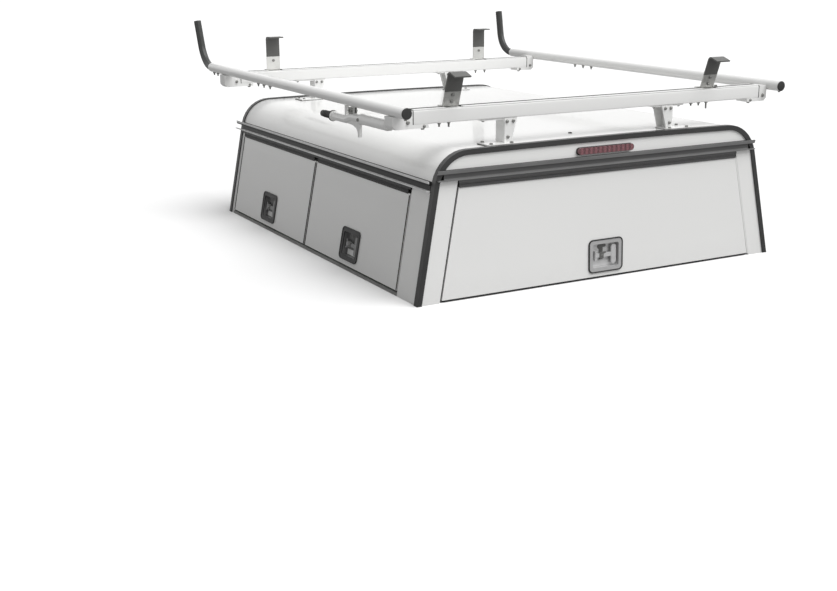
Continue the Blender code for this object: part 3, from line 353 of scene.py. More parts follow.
def lock_metal(name, rear, rim, inside):
    """Pressed metal whose rim, which stands out of the face, has a tone of its own."""
    made, tree = new_material(name)
    proud = place_on_face(tree, rear)[0]
    brushed = noise(tree, 1.0, 3.0, (900.0, 900.0, 40.0), 0.6)
    cloud = noise(tree, 24.0, 5.0, roughness=0.65)
    tone = mixed(tree, above(proud, -0.001), (inside,) * 3, (rim,) * 3)
    color = mixed(tree, cloud * 0.3, tone, (0.0, 0.0, 0.0))
    rough = 0.42 + (brushed - 0.5) * 0.18 + (cloud - 0.5) * 0.16
    return close(made, {"Base Color": color, "Roughness": rough, "Metallic": 0.45}, brushed, 0.00015)


LOCK_STEEL = lock_metal("steel_lock", True, 0.54, 0.66)
# The side copy is painted shade: the rear lock's steel made much darker, with a near-black rim.
SIDE_STEEL_SHADED = lock_metal("steel_lock_side_shaded", False, 0.045, 0.25)
BASE_METAL = bare_metal("base_rail_mill", (0.40, 0.40, 0.39), (500.0, 3.0, 500.0), 0.42)
BOLT_STEEL = bare_metal("steel_bolts", (0.30, 0.30, 0.29), (300.0, 300.0, 300.0), 0.42)
ALUMINIUM = bare_metal("aluminium_mill", (0.62, 0.62, 0.61), (3.0, 500.0, 500.0), 0.38)

# %% [markdown]
# The load stops are flat bar, bare at the foot and dipped in black above it. The dip ends in
# one clean edge, so a mask on the height switches both the colour and how metallic the
# surface is. The mask is steep but not a step, as the real edge of the dip is rounded.

# %% Stops dipped in black
def dipped_bar(name, edge, dull, bright):
    made, tree = new_material(name)
    z = axes(tree)[2]
    wave = noise(tree, 45.0, 2.0)
    mask = above(z + (wave - 0.5) * 0.003, edge)
    brushed = noise(tree, 1.0, 4.0, (60.0, 600.0, 600.0), 0.7)
    cloud = noise(tree, 38.0, 5.0, roughness=0.7)
    bare = mixed(tree, cloud, dull, bright)
    color = mixed(tree, mask, bare, (0.100, 0.100, 0.096))
    rough = 0.40 + (brushed - 0.5) * 0.25
    return close(
        made,
        {"Base Color": color, "Roughness": rough, "Metallic": (1 - mask) * 0.75},
        brushed * (1 - mask) + mask * 1.2,
        0.0003,
    )


REAR_DIP = dipped_bar("stop_rear", 0.720, (0.26, 0.26, 0.25), (0.60, 0.60, 0.58))
FRONT_DIP = dipped_bar("stop_front", 0.730, (0.55, 0.55, 0.53), (0.78, 0.78, 0.76))

# %% [markdown]
# The brake light is a clear red lens over a row of small lamps. From outside the lamps read
# as a row of darker cells, so a sine along the lens darkens the red at an even step.

# %% Red lens
LAMP_STEP = 0.0205


def red_lens():
    made, tree = new_material("lens_red")
    x = axes(tree)[0]
    rows = (x * (2 * math.pi / LAMP_STEP)).sine() * 0.5 + 0.5
    fine = noise(tree, 160.0, 3.0)
    share = (rows * 0.8 + fine * 0.2).clamped()
    color = mixed(tree, share, (0.080, 0.030, 0.036), (0.23, 0.090, 0.102))
    return close(
        made,
        {"Base Color": color, "Roughness": 0.22 + fine * 0.1, "Coat Weight": 0.5,
         "Coat Roughness": 0.05},
        rows,
        0.0008,
    )


LENS = red_lens()

# %% [markdown]
# The front window is dark tinted glass. A Principled shader with transmission does it, and
# a little noise in the roughness keeps it from being a perfect mirror.

# %% Tinted glass
def tinted_glass():
    made, tree = new_material("glass_tinted")
    haze = noise(tree, 6.0, 4.0)
    color = mixed(tree, haze, (0.22, 0.25, 0.25), (0.27, 0.30, 0.30))
    return close(
        made,
        {"Base Color": color, "Roughness": haze * 0.06, "Transmission Weight": 0.85, "IOR": 1.5},
        haze,
        0.0001,
    )


GLASS = tinted_glass()

# %% [markdown]
# The strip on a crossbar's top is a painted channel with black rubber in its middle. Both
# bars share one material: the distance from the nearer bar's middle line tells the two apart.

# %% Rubber insert in a painted channel
REAR_BAR_IN, FRONT_BAR_IN = 0.098, 0.128
REAR_BAR = REAR_Y + REAR_BAR_IN
FRONT_BAR = REAR_Y + SHELL_LENGTH - FRONT_BAR_IN
INSERT_HALF = 0.0125


def bar_insert():
    made, tree = new_material("bar_insert")
    y = axes(tree)[1]
    middle, half = (REAR_BAR + FRONT_BAR) / 2, (FRONT_BAR - REAR_BAR) / 2
    edge = INSERT_HALF - abs(abs(y - middle) - half)
    mask = (edge * STEEP).clamped()
    cloud = noise(tree, 30.0, 4.0)
    color = mixed(tree, mask, (0.82, 0.82, 0.81), (0.024, 0.024, 0.024))
    rough = 0.36 + mask * 0.26 + (cloud - 0.5) * 0.2
    cells = node(tree, "ShaderNodeTexVoronoi", {}, {"Vector": coordinates(tree), "Scale": 900.0})
    return close(made, {"Base Color": color, "Roughness": rough}, cells * mask, 0.0001)


INSERT = bar_insert()

# %% [markdown]
# Each solid keeps its shape and only changes its material. The names tell which finish it
# gets, and the first rule that matches wins. The side locks get a darker copy of the rear
# lock's steel with a near-black rim, which is painted shade, and the rear one is plain steel.

# %% Paint the solids
RULES = (
    ("bar_strip", INSERT),
    ("brake_light", LENS),
    ("front_window", GLASS),
    ("rack_grip", GRIP),
    ("rear_stop", REAR_DIP),
    ("front_stop", FRONT_DIP),
    ("horn", DIP),
    ("rear_door_leaf", ALONG_Y_SHADED),
    ("front_door_leaf", ALONG_Y_SHADED),
    ("side_rail", ALONG_Y_SHADED),
    ("rear_rail", ALONG_X_LIT),
    ("bead", HOOP),
    ("_bow", ALUMINIUM),
    ("base_rail", BASE_METAL),
    ("crossbar", RACK_PAINT),
    ("tube", RACK_PAINT),
    ("foot", RACK_PAINT),
    ("rack_latch", RACK_PAINT),
    ("", PAINT),
)


def finish_of(name):
    if name == "rear_door_leaf":
        return ALONG_X_LIT
    if name.endswith(("_lock", "_handle")):
        return LOCK_STEEL if name.startswith("rear") else SIDE_STEEL_SHADED
    return next(finish for part, finish in RULES if part in name)


for name, solid in nodes.items():
    solid.material_slots[0].material = finish_of(name)
print(sorted({finish_of(name).name for name in nodes}))

# %% [markdown]
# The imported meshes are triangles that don't share their corners, so their bends would show
# as flat strips. A small node group welds the corners and shades every edge under 30 degrees
# smooth. It goes on each solid as a modifier, so the mesh itself stays as it was packed. A
# second modifier weights the normals by area, which keeps the broad faces beside a small
# round corner looking flat.

# %% Smooth bends
WELD = 0.00001
SHARPEST_BEND = 30


def smoothing_group():
    group = bpy.data.node_groups.new("smooth_bends", "GeometryNodeTree")
    group.interface.new_socket("Mesh", in_out="INPUT", socket_type="NodeSocketGeometry")
    group.interface.new_socket("Mesh", in_out="OUTPUT", socket_type="NodeSocketGeometry")
    begin, end = group.nodes.new("NodeGroupInput"), group.nodes.new("NodeGroupOutput")
    weld = group.nodes.new("GeometryNodeMergeByDistance")
    weld.inputs["Distance"].default_value = WELD
    corner = group.nodes.new("GeometryNodeInputMeshEdgeAngle")
    sharp = group.nodes.new("FunctionNodeCompare")
    sharp.operation = "GREATER_THAN"
    sharp.inputs[1].default_value = math.radians(SHARPEST_BEND)
    normals = group.nodes.new("GeometryNodeSetMeshNormal")
    normals.mode = "SHARPNESS"
    normals.inputs["Remove Custom"].default_value = True
    group.links.new(begin.outputs[0], weld.inputs["Geometry"])
    group.links.new(weld.outputs["Geometry"], normals.inputs["Mesh"])
    group.links.new(corner.outputs["Unsigned Angle"], sharp.inputs[0])
    group.links.new(sharp.outputs[0], normals.inputs["Edge Sharpness"])
    group.links.new(normals.outputs["Mesh"], end.inputs[0])
    return group


SMOOTH_BENDS = smoothing_group()
for solid in nodes.values():
    solid.modifiers.new("smooth_bends", "NODES").node_group = SMOOTH_BENDS
    solid.modifiers.new("broad_faces_flat", "WEIGHTED_NORMAL").keep_sharp = True

# %% [markdown]
# The added pieces are meshes that are written point by point. `piece` takes points, faces, a
# material and a body, makes the object, shades it, lets it ride on its body and prints what it
# made. Several small things of one kind, such as all the rack's bolts, share one mesh.

# %% From points and faces to a piece
SMOOTH_BELOW = 35.0
BEVEL_ABOVE = 40


def piece(name, points, faces, finish, body, slot, bevel=0.0):
    mesh = bpy.data.meshes.new(name)
    mesh.from_pydata([tuple(p) for p in points], [], faces)
    work = bmesh.new()
    work.from_mesh(mesh)
    bmesh.ops.remove_doubles(work, verts=work.verts, dist=WELD / 2)
    bmesh.ops.recalc_face_normals(work, faces=work.faces)
    work.to_mesh(mesh)
    work.free()
    mesh.materials.append(finish)
    mesh.shade_smooth()
    mesh.set_sharp_from_angle(angle=math.radians(SMOOTH_BELOW))
    made = bpy.data.objects.new(name, mesh)
    bpy.context.scene.collection.objects.link(made)
    if bevel:
        edge = made.modifiers.new("edge", "BEVEL")
        edge.width = bevel
        edge.segments = 2
        edge.limit_method = "ANGLE"
        edge.angle_limit = math.radians(BEVEL_ABOVE)
        edge.harden_normals = True
    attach(made, body)
    print(name, "on", body, "has", len(faces), "faces")


# %% [markdown]
# Most trim is a flat outline given a thickness. `slab` returns the points and faces of such
# a prism in any face's axes, and `gather` joins several shapes into one list.

# %% Prisms and gathered shapes
def slab(outline, low, high, matrix):
    count = len(outline)
    points = [matrix @ Vector((u, v, w)) for w in (low, high) for u, v in outline]
    faces = [tuple(range(count - 1, -1, -1)), tuple(range(count, 2 * count))]
    for i in range(count):
        j = (i + 1) % count
        faces.append((i, j, count + j, count + i))
    return points, faces


def band(outer, inner, low, high, matrix):
    """A frame between two outlines that have the same number of points."""
    count = len(outer)
    rings = [(outer, low), (outer, high), (inner, high), (inner, low)]
    points = [matrix @ Vector((u, v, w)) for ring, w in rings for u, v in ring]
    faces = []
    for r in range(4):
        for i in range(count):
            j = (i + 1) % count
            a, b = r * count, ((r + 1) % 4) * count
            faces.append((a + i, a + j, b + j, b + i))
    return points, faces


def gather(shapes):
    points, faces = [], []
    for more_points, more_faces in shapes:
        start = len(points)
        points += more_points
        faces += [tuple(start + i for i in face) for face in more_faces]
    return points, faces


def rounded(low, high, radius, steps=5):
    corners = (
        (high[0] - radius, low[1] + radius, -90),
        (high[0] - radius, high[1] - radius, 0),
        (low[0] + radius, high[1] - radius, 90),
        (low[0] + radius, low[1] + radius, 180),
    )
    outline = []
    for u, v, start in corners:
        for i in range(steps + 1):
            a = math.radians(start + 90 * i / steps)
            outline.append((u + radius * math.cos(a), v + radius * math.sin(a)))
    return outline


def rectangle(low, high):
    return [low, (high[0], low[1]), high, (low[0], high[1])]


# %% [markdown]
# A round part is a profile turned about an axis. `turned` takes the profile as pairs of
# radius and height, and `aimed` gives the matrix that stands the axis on a point. Most axes
# run up, down or along the canopy, so those directions get names.

# %% Turned shapes
UP, DOWN, FORWARD, BACK = (0, 0, 1), (0, 0, -1), (0, 1, 0), (0, -1, 0)


def aimed(place, direction, turn=0.0):
    direction = Vector(direction).normalized()
    matrix = direction.to_track_quat("Z", "Y").to_matrix().to_4x4()
    matrix.translation = place
    return matrix @ Matrix.Rotation(turn, 4, "Z")


def turned(profile, matrix, sides=24):
    points, faces = [], []
    for radius, height in profile:
        for i in range(sides):
            a = 2 * math.pi * i / sides
            points.append(matrix @ Vector((radius * math.cos(a), radius * math.sin(a), height)))
    for r in range(len(profile) - 1):
        for i in range(sides):
            j = (i + 1) % sides
            faces.append((r * sides + i, r * sides + j, (r + 1) * sides + j, (r + 1) * sides + i))
    faces.append(tuple(range(sides - 1, -1, -1)))
    last = (len(profile) - 1) * sides
    faces.append(tuple(range(last, last + sides)))
    return points, faces


# %% [markdown]
# A hex bolt is a washer and a six-sided head that narrows at its top. All the fixings of the
# rack are this one shape at different sizes, so the function returns a shape to gather and
# not an object.

# %% A hex bolt
BOLT_TURN = 0.3


def bolt(place, direction, size):
    matrix = aimed(place, direction, BOLT_TURN)
    washer = turned(
        [(size * 0.9, -0.0005), (size * 1.15, 0.0), (size * 1.15, 0.0012), (size * 0.95, 0.0016)],
        matrix,
        20,
    )
    head = turned([(size, 0.0012), (size, size * 0.75), (size * 0.8, size * 0.95)], matrix, 6)
    return gather([washer, head])


# %% [markdown]
# Black rubber closes the gap round every door. On the real canopy it is a bulb seal on the
# jamb. It is drawn as a slim strip on the jamb's side, set back from the face, so that the
# gap reads as a dark line and the door still swings clear of it. The rear door's right edge
# shows no dark line in the photograph, so it gets a strip of white trim.

# %% Seals round the doors
SEAL_SET, SEAL_DEEP, SEAL_WIDTH = 0.0045, 0.022, 0.005
SIDE_FOOT, REAR_FOOT = 0.016, 0.004
SIDE_TOP, REAR_TOP = SIDE_HINGE - 0.014, REAR_HINGE - 0.014
REAR_POST, FRONT_POST, MULLION = 0.158, 0.039, 1.0035
SILL_START, SILL_END = 0.160, SHELL_LENGTH - 0.040
SILL_LOW, SILL_HIGH, SILL_DEEP, SILL_SET = 0.0125, 0.0165, 0.02, 0.005
REAR_EDGE = HALF_WIDTH - 0.0875
TRIM_WIDTH, TRIM_SET = 0.0058, 0.0008
LEAN_RATIO, SIDE_RATIO = math.tan(REAR_LEAN), math.tan(SIDE_LEAN)


def leaning_strip(base, slope, low, high, width):
    """The outline of a strip up a face. Its foot is at base, and it leans by slope."""
    return [
        (base + slope * low, low),
        (base + width + slope * low, low),
        (base + width + slope * high, high),
        (base + slope * high, high),
    ]


def rear_edge_outline(side, width):
    """A strip beside the rear door that follows the post's slope."""
    return [
        (side * (REAR_EDGE - width), REAR_FOOT),
        (side * REAR_EDGE, REAR_FOOT),
        (side * (REAR_EDGE - SIDE_RATIO * REAR_TOP), REAR_TOP),
        (side * (REAR_EDGE - width - SIDE_RATIO * REAR_TOP), REAR_TOP),
    ]


def door_seals():
    made = []
    for side in (-1, 1):
        matrix = side_face(side) @ Matrix.Diagonal((side, 1, 1, 1))
        front = SHELL_LENGTH - FRONT_POST - SEAL_WIDTH
        for base, slope in ((REAR_POST, LEAN_RATIO), (front, 0), (MULLION, 0)):
            strip = leaning_strip(base, slope, SIDE_FOOT, SIDE_TOP, SEAL_WIDTH)
            made.append(slab(strip, -SEAL_DEEP, -SEAL_SET, matrix))
        sill = rectangle((SILL_START, SILL_LOW), (SILL_END, SILL_HIGH))
        made.append(slab(sill, -SILL_DEEP, -SILL_SET, matrix))
    made.append(slab(rear_edge_outline(-1, SEAL_WIDTH), -SEAL_DEEP, -SEAL_SET, REAR_FACE))
    return gather(made)


piece("door_seals", *door_seals(), RUBBER, "shell", "black_extrusion", bevel=0.001)
trim = slab(rear_edge_outline(1, TRIM_WIDTH), -SEAL_DEEP, -TRIM_SET, REAR_FACE)
piece("rear_door_jamb_trim", *trim, PAINT, "shell", "white_paint", bevel=0.0006)

# %% [markdown]
# The side doors' upright edges are capped with a black rubber edging about 6 mm wide, which
# makes the gap between two doors read as a broad dark line. Each cap moves with its door.

# %% Edging on the side doors
DOORS_START, DOORS_END = 0.166, SHELL_LENGTH - 0.047
SPLIT = (DOORS_START + DOORS_END) / 2
SPANS = {"rear": (DOORS_START, SPLIT - 0.004), "front": (SPLIT + 0.004, DOORS_END)}
EDGING = 0.0060
EDGING_LOW, EDGING_HIGH = 0.019, SIDE_TOP - 0.004


def edge_cap(base, slope, matrix):
    strip = leaning_strip(base, slope, EDGING_LOW, EDGING_HIGH, EDGING)
    return slab(strip, -0.0010, 0.0011, matrix)


for side, word in ((-1, "left"), (1, "right")):
    matrix = side_face(side) @ Matrix.Diagonal((side, 1, 1, 1))
    for end, (low, high) in SPANS.items():
        slope = LEAN_RATIO if end == "rear" else 0.0
        caps = [edge_cap(low, slope, matrix), edge_cap(high - EDGING, 0.0, matrix)]
        name = f"{word}_{end}_door"
        piece(f"{name}_edging", *gather(caps), RUBBER, name, "black_plastic", bevel=0.0008)

# %% [markdown]
# The rear door has no sill under it, so its own lower edge carries a rubber strip. It is one
# slab in the rear face's axes, and it rides on the door's body and moves with the door.

# %% The rear door's lower strip
STRIP_HALF, STRIP_LOW, STRIP_HIGH = 0.700, 0.0015, 0.0085
STRIP_DEEP, STRIP_SET = 0.018, 0.0015
lower_strip = rectangle((-STRIP_HALF, STRIP_LOW), (STRIP_HALF, STRIP_HIGH))
lower_strip = slab(lower_strip, -STRIP_DEEP, -STRIP_SET, REAR_FACE)
piece("rear_door_sill_strip", *lower_strip, RUBBER, "rear_door", "black_extrusion", bevel=0.001)

# %% [markdown]
# Where the roof sheet and the rear header meet the rails, a thin black strip lies in the
# corner. It is a painted shadow line over each rail's lip, whose lighter tone is a painted highlight.

# %% Painted shadow line over the rails
LEDGE = 0.0472
SIDE_LEDGE, REAR_LEDGE = SIDE_HINGE + LEDGE, REAR_HINGE + LEDGE
BEAD_END = 0.0205
SHADOW_LINE_LOW, SIDE_SHADOW_LINE, REAR_SHADOW_LINE, SHADOW_LINE_PROUD = 0.0004, 0.0046, 0.0036, 0.0010
shadow_line = []
for side in (-1, 1):
    near, far = sorted((side * BEAD_END, side * (SHELL_LENGTH - BEAD_END)))
    line = rectangle((near, SIDE_LEDGE + SHADOW_LINE_LOW), (far, SIDE_LEDGE + SIDE_SHADOW_LINE))
    shadow_line.append(slab(line, -0.0012, SHADOW_LINE_PROUD, side_face(side)))
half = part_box("rear_header")[1].x - 0.002
line = rectangle((-half, REAR_LEDGE + SHADOW_LINE_LOW), (half, REAR_LEDGE + REAR_SHADOW_LINE))
shadow_line.append(slab(line, -0.0008, SHADOW_LINE_PROUD, REAR_FACE))
piece("rail_shadow_line", *gather(shadow_line), RUBBER, "shell", "black_extrusion", bevel=0.0005)

# %% [markdown]
# The tops of the crossbars carry a grooved strip with rubber in its middle, so that a load
# doesn't slide or scratch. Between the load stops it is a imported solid, and outside them the
# same section runs on to the bar's ends. Its three ribs are in the outline.

# %% Strips on the crossbars
BAR_HALF = HALF_WIDTH - 0.027
END_ROOM, STOP_ROOM = 0.002, 0.003
STOPS = {
    "rear_crossbar": [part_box("left_rear_stop"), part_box("right_rear_stop")],
    "front_crossbar": [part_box("left_front_stop"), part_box("right_front_stop")],
}
ROOF_TOP, BAR_LIFT, BAR_HEIGHT = 0.523, 0.095, 0.049
TOP = ROOF_TOP + BAR_LIFT + BAR_HEIGHT
RIBS = [
    (-0.0275, 0.0), (0.0275, 0.0), (0.0275, 0.0024), (0.0235, 0.0034), (0.0105, 0.0034),
    (0.0090, 0.0022), (0.0075, 0.0034), (-0.0075, 0.0034), (-0.0090, 0.0022),
    (-0.0105, 0.0034), (-0.0235, 0.0034), (-0.0275, 0.0024),
]


def bar_strips(name, y):
    left, right = STOPS[name]
    end = BAR_HALF - END_ROOM
    matrix = face_matrix((0, y, TOP), FORWARD, UP)
    return gather([
        slab(RIBS, -end, left[0].x - STOP_ROOM, matrix),
        slab(RIBS, right[1].x + STOP_ROOM, end, matrix),
    ])


for name, y in (("rear_crossbar", REAR_BAR), ("front_crossbar", FRONT_BAR)):
    piece(f"{name}_end_strips", *bar_strips(name, y), INSERT, "shell", "black_plastic")

# %% [markdown]
# Where a crossbar meets the casting on its end, a thin black gasket shows as a dark line up
# the bar's end. It fills the 3 mm slot between the two and stands half a millimetre proud.

# %% Gaskets on the bars' ends
UNDER = 0.618
GASKET_X, GASKET_DEPTH, GASKET_THICKNESS = BAR_HALF + 0.0015, 0.0306, 0.0028
GASKET_LOW, GASKET_HIGH = UNDER - 0.0004, TOP + 0.0006


def bar_gaskets(y):
    made = []
    for side in (-1, 1):
        matrix = face_matrix((side * GASKET_X, y, 0), FORWARD, UP)
        outline = rounded((-GASKET_DEPTH, GASKET_LOW), (GASKET_DEPTH, GASKET_HIGH), 0.005, 3)
        made.append(slab(outline, -GASKET_THICKNESS / 2, GASKET_THICKNESS / 2, matrix))
    return gather(made)


for name, y in (("rear", REAR_BAR), ("front", FRONT_BAR)):
    piece(f"{name}_bar_gaskets", *bar_gaskets(y), RUBBER, "shell", "black_extrusion")

# %% [markdown]
# Both side tubes are closed at the rear by a black plug with a slightly domed face, and a
# small bolt under each keeps it in. The plug is turned about the tube's own axis.

# %% Plugs in the tubes
TUBE_X = HALF_WIDTH + 0.031
TUBE_SLOPE = 0.006
TUBE_END, PLUG_BOLT_PLACE, TUBE_UNDER = 0.008, 0.016, 0.0198
PLUG = [
    (0.0165, -0.012), (0.0170, 0.0), (0.0192, 0.0005), (0.0196, 0.0018), (0.0180, 0.0032),
    (0.0090, 0.0040),
]


def tube_height(y):
    return TOP + (y - REAR_BAR_IN) * TUBE_SLOPE


plugs, plug_bolts = [], []
for side in (-1, 1):
    end = (side * TUBE_X, REAR_Y + TUBE_END, tube_height(TUBE_END))
    plugs.append(turned(PLUG, aimed(end, (0, -1, -TUBE_SLOPE)), 28))
    low = tube_height(PLUG_BOLT_PLACE) - TUBE_UNDER
    under = (side * TUBE_X, REAR_Y + PLUG_BOLT_PLACE, low)
    plug_bolts.append(bolt(under, DOWN, 0.0048))
piece("tube_plugs", *gather(plugs), GRIP, "shell", "black_plastic")
piece("tube_plug_bolts", *gather(plug_bolts), BOLT_STEEL, "shell", "lock_steel")

# %% [markdown]
# Under the bars and the tubes the ends of bolts show, each with a nut. The thread is a
# profile of small steps turned about the bolt's axis, because a real helix would be too fine
# to see.

# %% Threaded ends
THREAD, END_RADIUS, ROOT_SHARE = 0.0014, 0.0036, 0.86
NUT = [(0.0070, -0.0004), (0.0070, 0.0052), (0.0060, 0.0062)]


def threaded_end(place, length):
    """A nut under a bar, with the end of its bolt."""
    matrix = aimed(place, DOWN)
    rings = []
    for i in range(int(length / THREAD)):
        rings += [(END_RADIUS, 0.005 + i * THREAD), (END_RADIUS * ROOT_SHARE, 0.0057 + i * THREAD)]
    return gather([turned(NUT, matrix, 6), turned(rings, matrix, 12)])


# %% [markdown]
# Every foot has two bolts up into the bar, three down through its plate on the roof and three
# in its rear face. Each head bears on a real face, so their places count from the foot's web,
# which is its upright wall, and from the bar's underside.

# %% Bolts on the feet
FEET = ((-(HALF_WIDTH - 0.391), -1), (HALF_WIDTH - 0.458, 1))
PLATE_Z, PLATE_OUT = 0.5305, 0.022
CLAMP_IN, CLAMP_REACH, CLAMP_DROP = 0.019, 0.0600, 0.0055
FOOT_FACE = 0.0293


def foot_bolts(y, web, side):
    made = []
    for dx in (-CLAMP_REACH, CLAMP_REACH):
        made.append(bolt((web - CLAMP_IN + dx, y - 0.012, UNDER - CLAMP_DROP), DOWN, 0.0052))
    plate = web + side * PLATE_OUT
    for dy in (-0.040, 0.020):
        made.append(bolt((plate + side * 0.040, y + dy, PLATE_Z), UP, 0.0062))
    made.append(bolt((plate - side * 0.044, y - 0.042, PLATE_Z), UP, 0.0062))
    for dx, drop in ((-0.010, 0.012), (-0.036, 0.012), (-0.014, 0.067)):
        made.append(bolt((web + side * dx, y - FOOT_FACE, UNDER - drop), BACK, 0.0056))
    return made


# %% [markdown]
# The rear stops lean back and the front ones are upright, so a stop's bolts are placed along
# its own lean, from its foot on the bar. The table gives where each stop's threaded ends show
# under the bar and how long they are. The photograph has two under the left rear stop and
# three under the right one.

# %% Bolts on the stops
STOP_LEAN = 19.3
STOP_BOLTS = {"rear": (0.020, 0.046), "front": (0.046,)}
STOP_ENDS = {
    "left_rear_stop": ((-0.664, 0.012), (-0.626, 0.014)),
    "right_rear_stop": ((0.452, 0.009), (0.490, 0.010), (0.528, 0.024)),
    "left_front_stop": ((-0.596, 0.012), (-0.557, 0.012)),
    "right_front_stop": ((0.484, 0.012), (0.537, 0.012)),
}


def stop_bolts(name, end, y):
    low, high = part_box(name)
    lean = math.radians(STOP_LEAN) if end == "rear" else 0.0
    back = Vector((0, -math.cos(lean), -math.sin(lean)))
    along = Vector((0, -math.sin(lean), math.cos(lean)))
    foot = Vector(((low.x + high.x) / 2, y, TOP))
    made = [bolt(foot + along * up + back * 0.0003, back, 0.0058) for up in STOP_BOLTS[end]]
    for x, length in STOP_ENDS[name]:
        made.append(threaded_end((x, y - 0.006, UNDER), length))
    return made


# %% [markdown]
# Two bolts hold each casting to its bar, and one holds the tube in it. With the threaded ends
# under the tubes they all go in one mesh.

# %% Bolts of the rack
CASTING_X, TUBE_SEAT_X, TUBE_SEAT_Z = 0.735, 0.798, 0.628
CASTING_FACE = 0.0302
STRIP_BOLT_X = 0.594
TUBE_ENDS = ((-TUBE_X, (1.935, 1.885, 1.365, 1.300, 1.230)), (TUBE_X, (1.390, 1.323, 1.257)))


def casting_bolts(y, side):
    x, face = side * CASTING_X, y - CASTING_FACE
    return [
        bolt((x, y - 0.018, UNDER - 0.0125), DOWN, 0.0065),
        bolt((x, face, UNDER - 0.006), BACK, 0.0050),
        bolt((side * TUBE_SEAT_X, face, TUBE_SEAT_Z), BACK, 0.0060),
    ]


rack_bolts = []
for end, y in (("rear", REAR_BAR), ("front", FRONT_BAR)):
    for web, side in FEET:
        rack_bolts += foot_bolts(y, web, side)
    for word in ("left", "right"):
        rack_bolts += stop_bolts(f"{word}_{end}_stop", end, y)
    for side in (-1, 1):
        rack_bolts += casting_bolts(y, side)
rack_bolts.append(bolt((STRIP_BOLT_X, REAR_BAR + 0.018, TOP + 0.0034), UP, 0.0060))
for x, places in TUBE_ENDS:
    for y in places:
        rack_bolts.append(threaded_end((x, REAR_Y + y, tube_height(y) - 0.0196), 0.010))
piece("rack_bolts", *gather(rack_bolts), BOLT_STEEL, "shell", "lock_steel")
print(len(rack_bolts), "bolts on the rack")

# %% [markdown]
# A small black plug closes a wiring hole in the roof, a little forward of the rear bar. Its
# domed face is a short profile turned about an upright axis.

# %% Plug in the roof
ROOF_PLUG = [(0.0075, -0.001), (0.0080, 0.0015), (0.0062, 0.0032), (0.0025, 0.0040)]
ROOF_HOLE = (-0.056, REAR_Y + 0.172, 0.5269)
piece("roof_plug", *turned(ROOF_PLUG, aimed(ROOF_HOLE, UP), 20), GRIP, "shell", "black_plastic")

# %% [markdown]
# Every foot stands on a thin rubber pad that shows as a dark line under its plate. A pad is a
# rounded outline given a thickness, placed from the foot's web as the bolts are.

# %% Pads under the feet
PAD_LOW, PAD_THICKNESS = 0.5235, 0.0028
PAD_HALF, PAD_BEHIND, PAD_BEFORE, PAD_CORNER = 0.0575, 0.0545, 0.0315, 0.006
pads = []
for y in (REAR_BAR, FRONT_BAR):
    for web, side in FEET:
        plate = web + side * PLATE_OUT
        near, far = (plate - PAD_HALF, y - PAD_BEHIND), (plate + PAD_HALF, y + PAD_BEFORE)
        outline = rounded(near, far, PAD_CORNER, 3)
        pads.append(slab(outline, PAD_LOW, PAD_LOW + PAD_THICKNESS, Matrix.Identity(4)))
piece("foot_pads", *gather(pads), RUBBER, "shell", "black_extrusion")

# %% [markdown]
# The window sits in the front wall in a rubber gasket that laps over the glass and the sheet
# on both sides. The lip is a band between two rounded outlines with its edges rounded.

# %% The window's gasket
FRONT_Y = REAR_Y + SHELL_LENGTH
WINDOW = (HALF_WIDTH - 0.283, 0.10, 0.40)
LAP_OUT, LAP_IN = 0.012, 0.010
LIP_BACK, LIP_FRONT = -0.0035, 0.0065


def window_gasket():
    half, low, high = WINDOW
    outer = rounded(
        (-half - LAP_OUT, low - LAP_OUT), (half + LAP_OUT, high + LAP_OUT), 0.062, 8
    )
    inner = rounded((-half + LAP_IN, low + LAP_IN), (half - LAP_IN, high - LAP_IN), 0.040, 8)
    matrix = face_matrix((0, FRONT_Y, 0), (1, 0, 0), UP)
    return band(outer, inner, LIP_BACK, LIP_FRONT, matrix)


piece("window_gasket", *window_gasket(), RUBBER, "shell", "black_extrusion", bevel=0.0015)

# %% [markdown]
# Each lock is a pressed dish with a black gasket round it. All its parts are drawn in the
# door's own face, with the middle of the dish as the origin.

# %% The locks' places and gaskets
REAR_LOCK_HEIGHT, SIDE_LOCK_HEIGHT = 0.086, 0.100
LOCKS = {"rear_door": REAR_FACE @ Matrix.Translation((0, REAR_LOCK_HEIGHT, 0))}
for side, word in ((-1, "left"), (1, "right")):
    for end, (low, high) in SPANS.items():
        place = (side * (low + high) / 2, SIDE_LOCK_HEIGHT, 0)
        LOCKS[f"{word}_{end}_door"] = side_face(side) @ Matrix.Translation(place)
print(len(LOCKS), "locks")


GASKET_HALF = (0.0785, 0.0635)
GASKET_HOLE = (0.0735, 0.0585)


def about_middle(half, radius):
    return rounded((-half[0], -half[1]), half, radius, 6)


def lock_gasket(door, matrix):
    outer, inner = about_middle(GASKET_HALF, 0.019), about_middle(GASKET_HOLE, 0.0145)
    ring = band(outer, inner, 0.0, 0.0052, matrix)
    piece(f"{door}_lock_gasket", *ring, GRIP, door, "black_plastic", bevel=0.0012)


# %% [markdown]
# A plain plate fills the lower part of the dish, and a dark sheet stands over it, which is a
# painted shadow round the key cylinder. On the side locks the plate takes the white paint,
# lighter than steel, as painted light in the dish's shade. Both are thin prisms that lie on
# the dish's floor, 19 mm behind the door's face.

# %% On the dish's floor
DISH_FLOOR = -0.0189
PLATE_TOP, SHADOW_TOP = -0.0177, -0.0178
LOCK_PLATE = ((-0.048, -0.0425), (0.057, -0.0210))
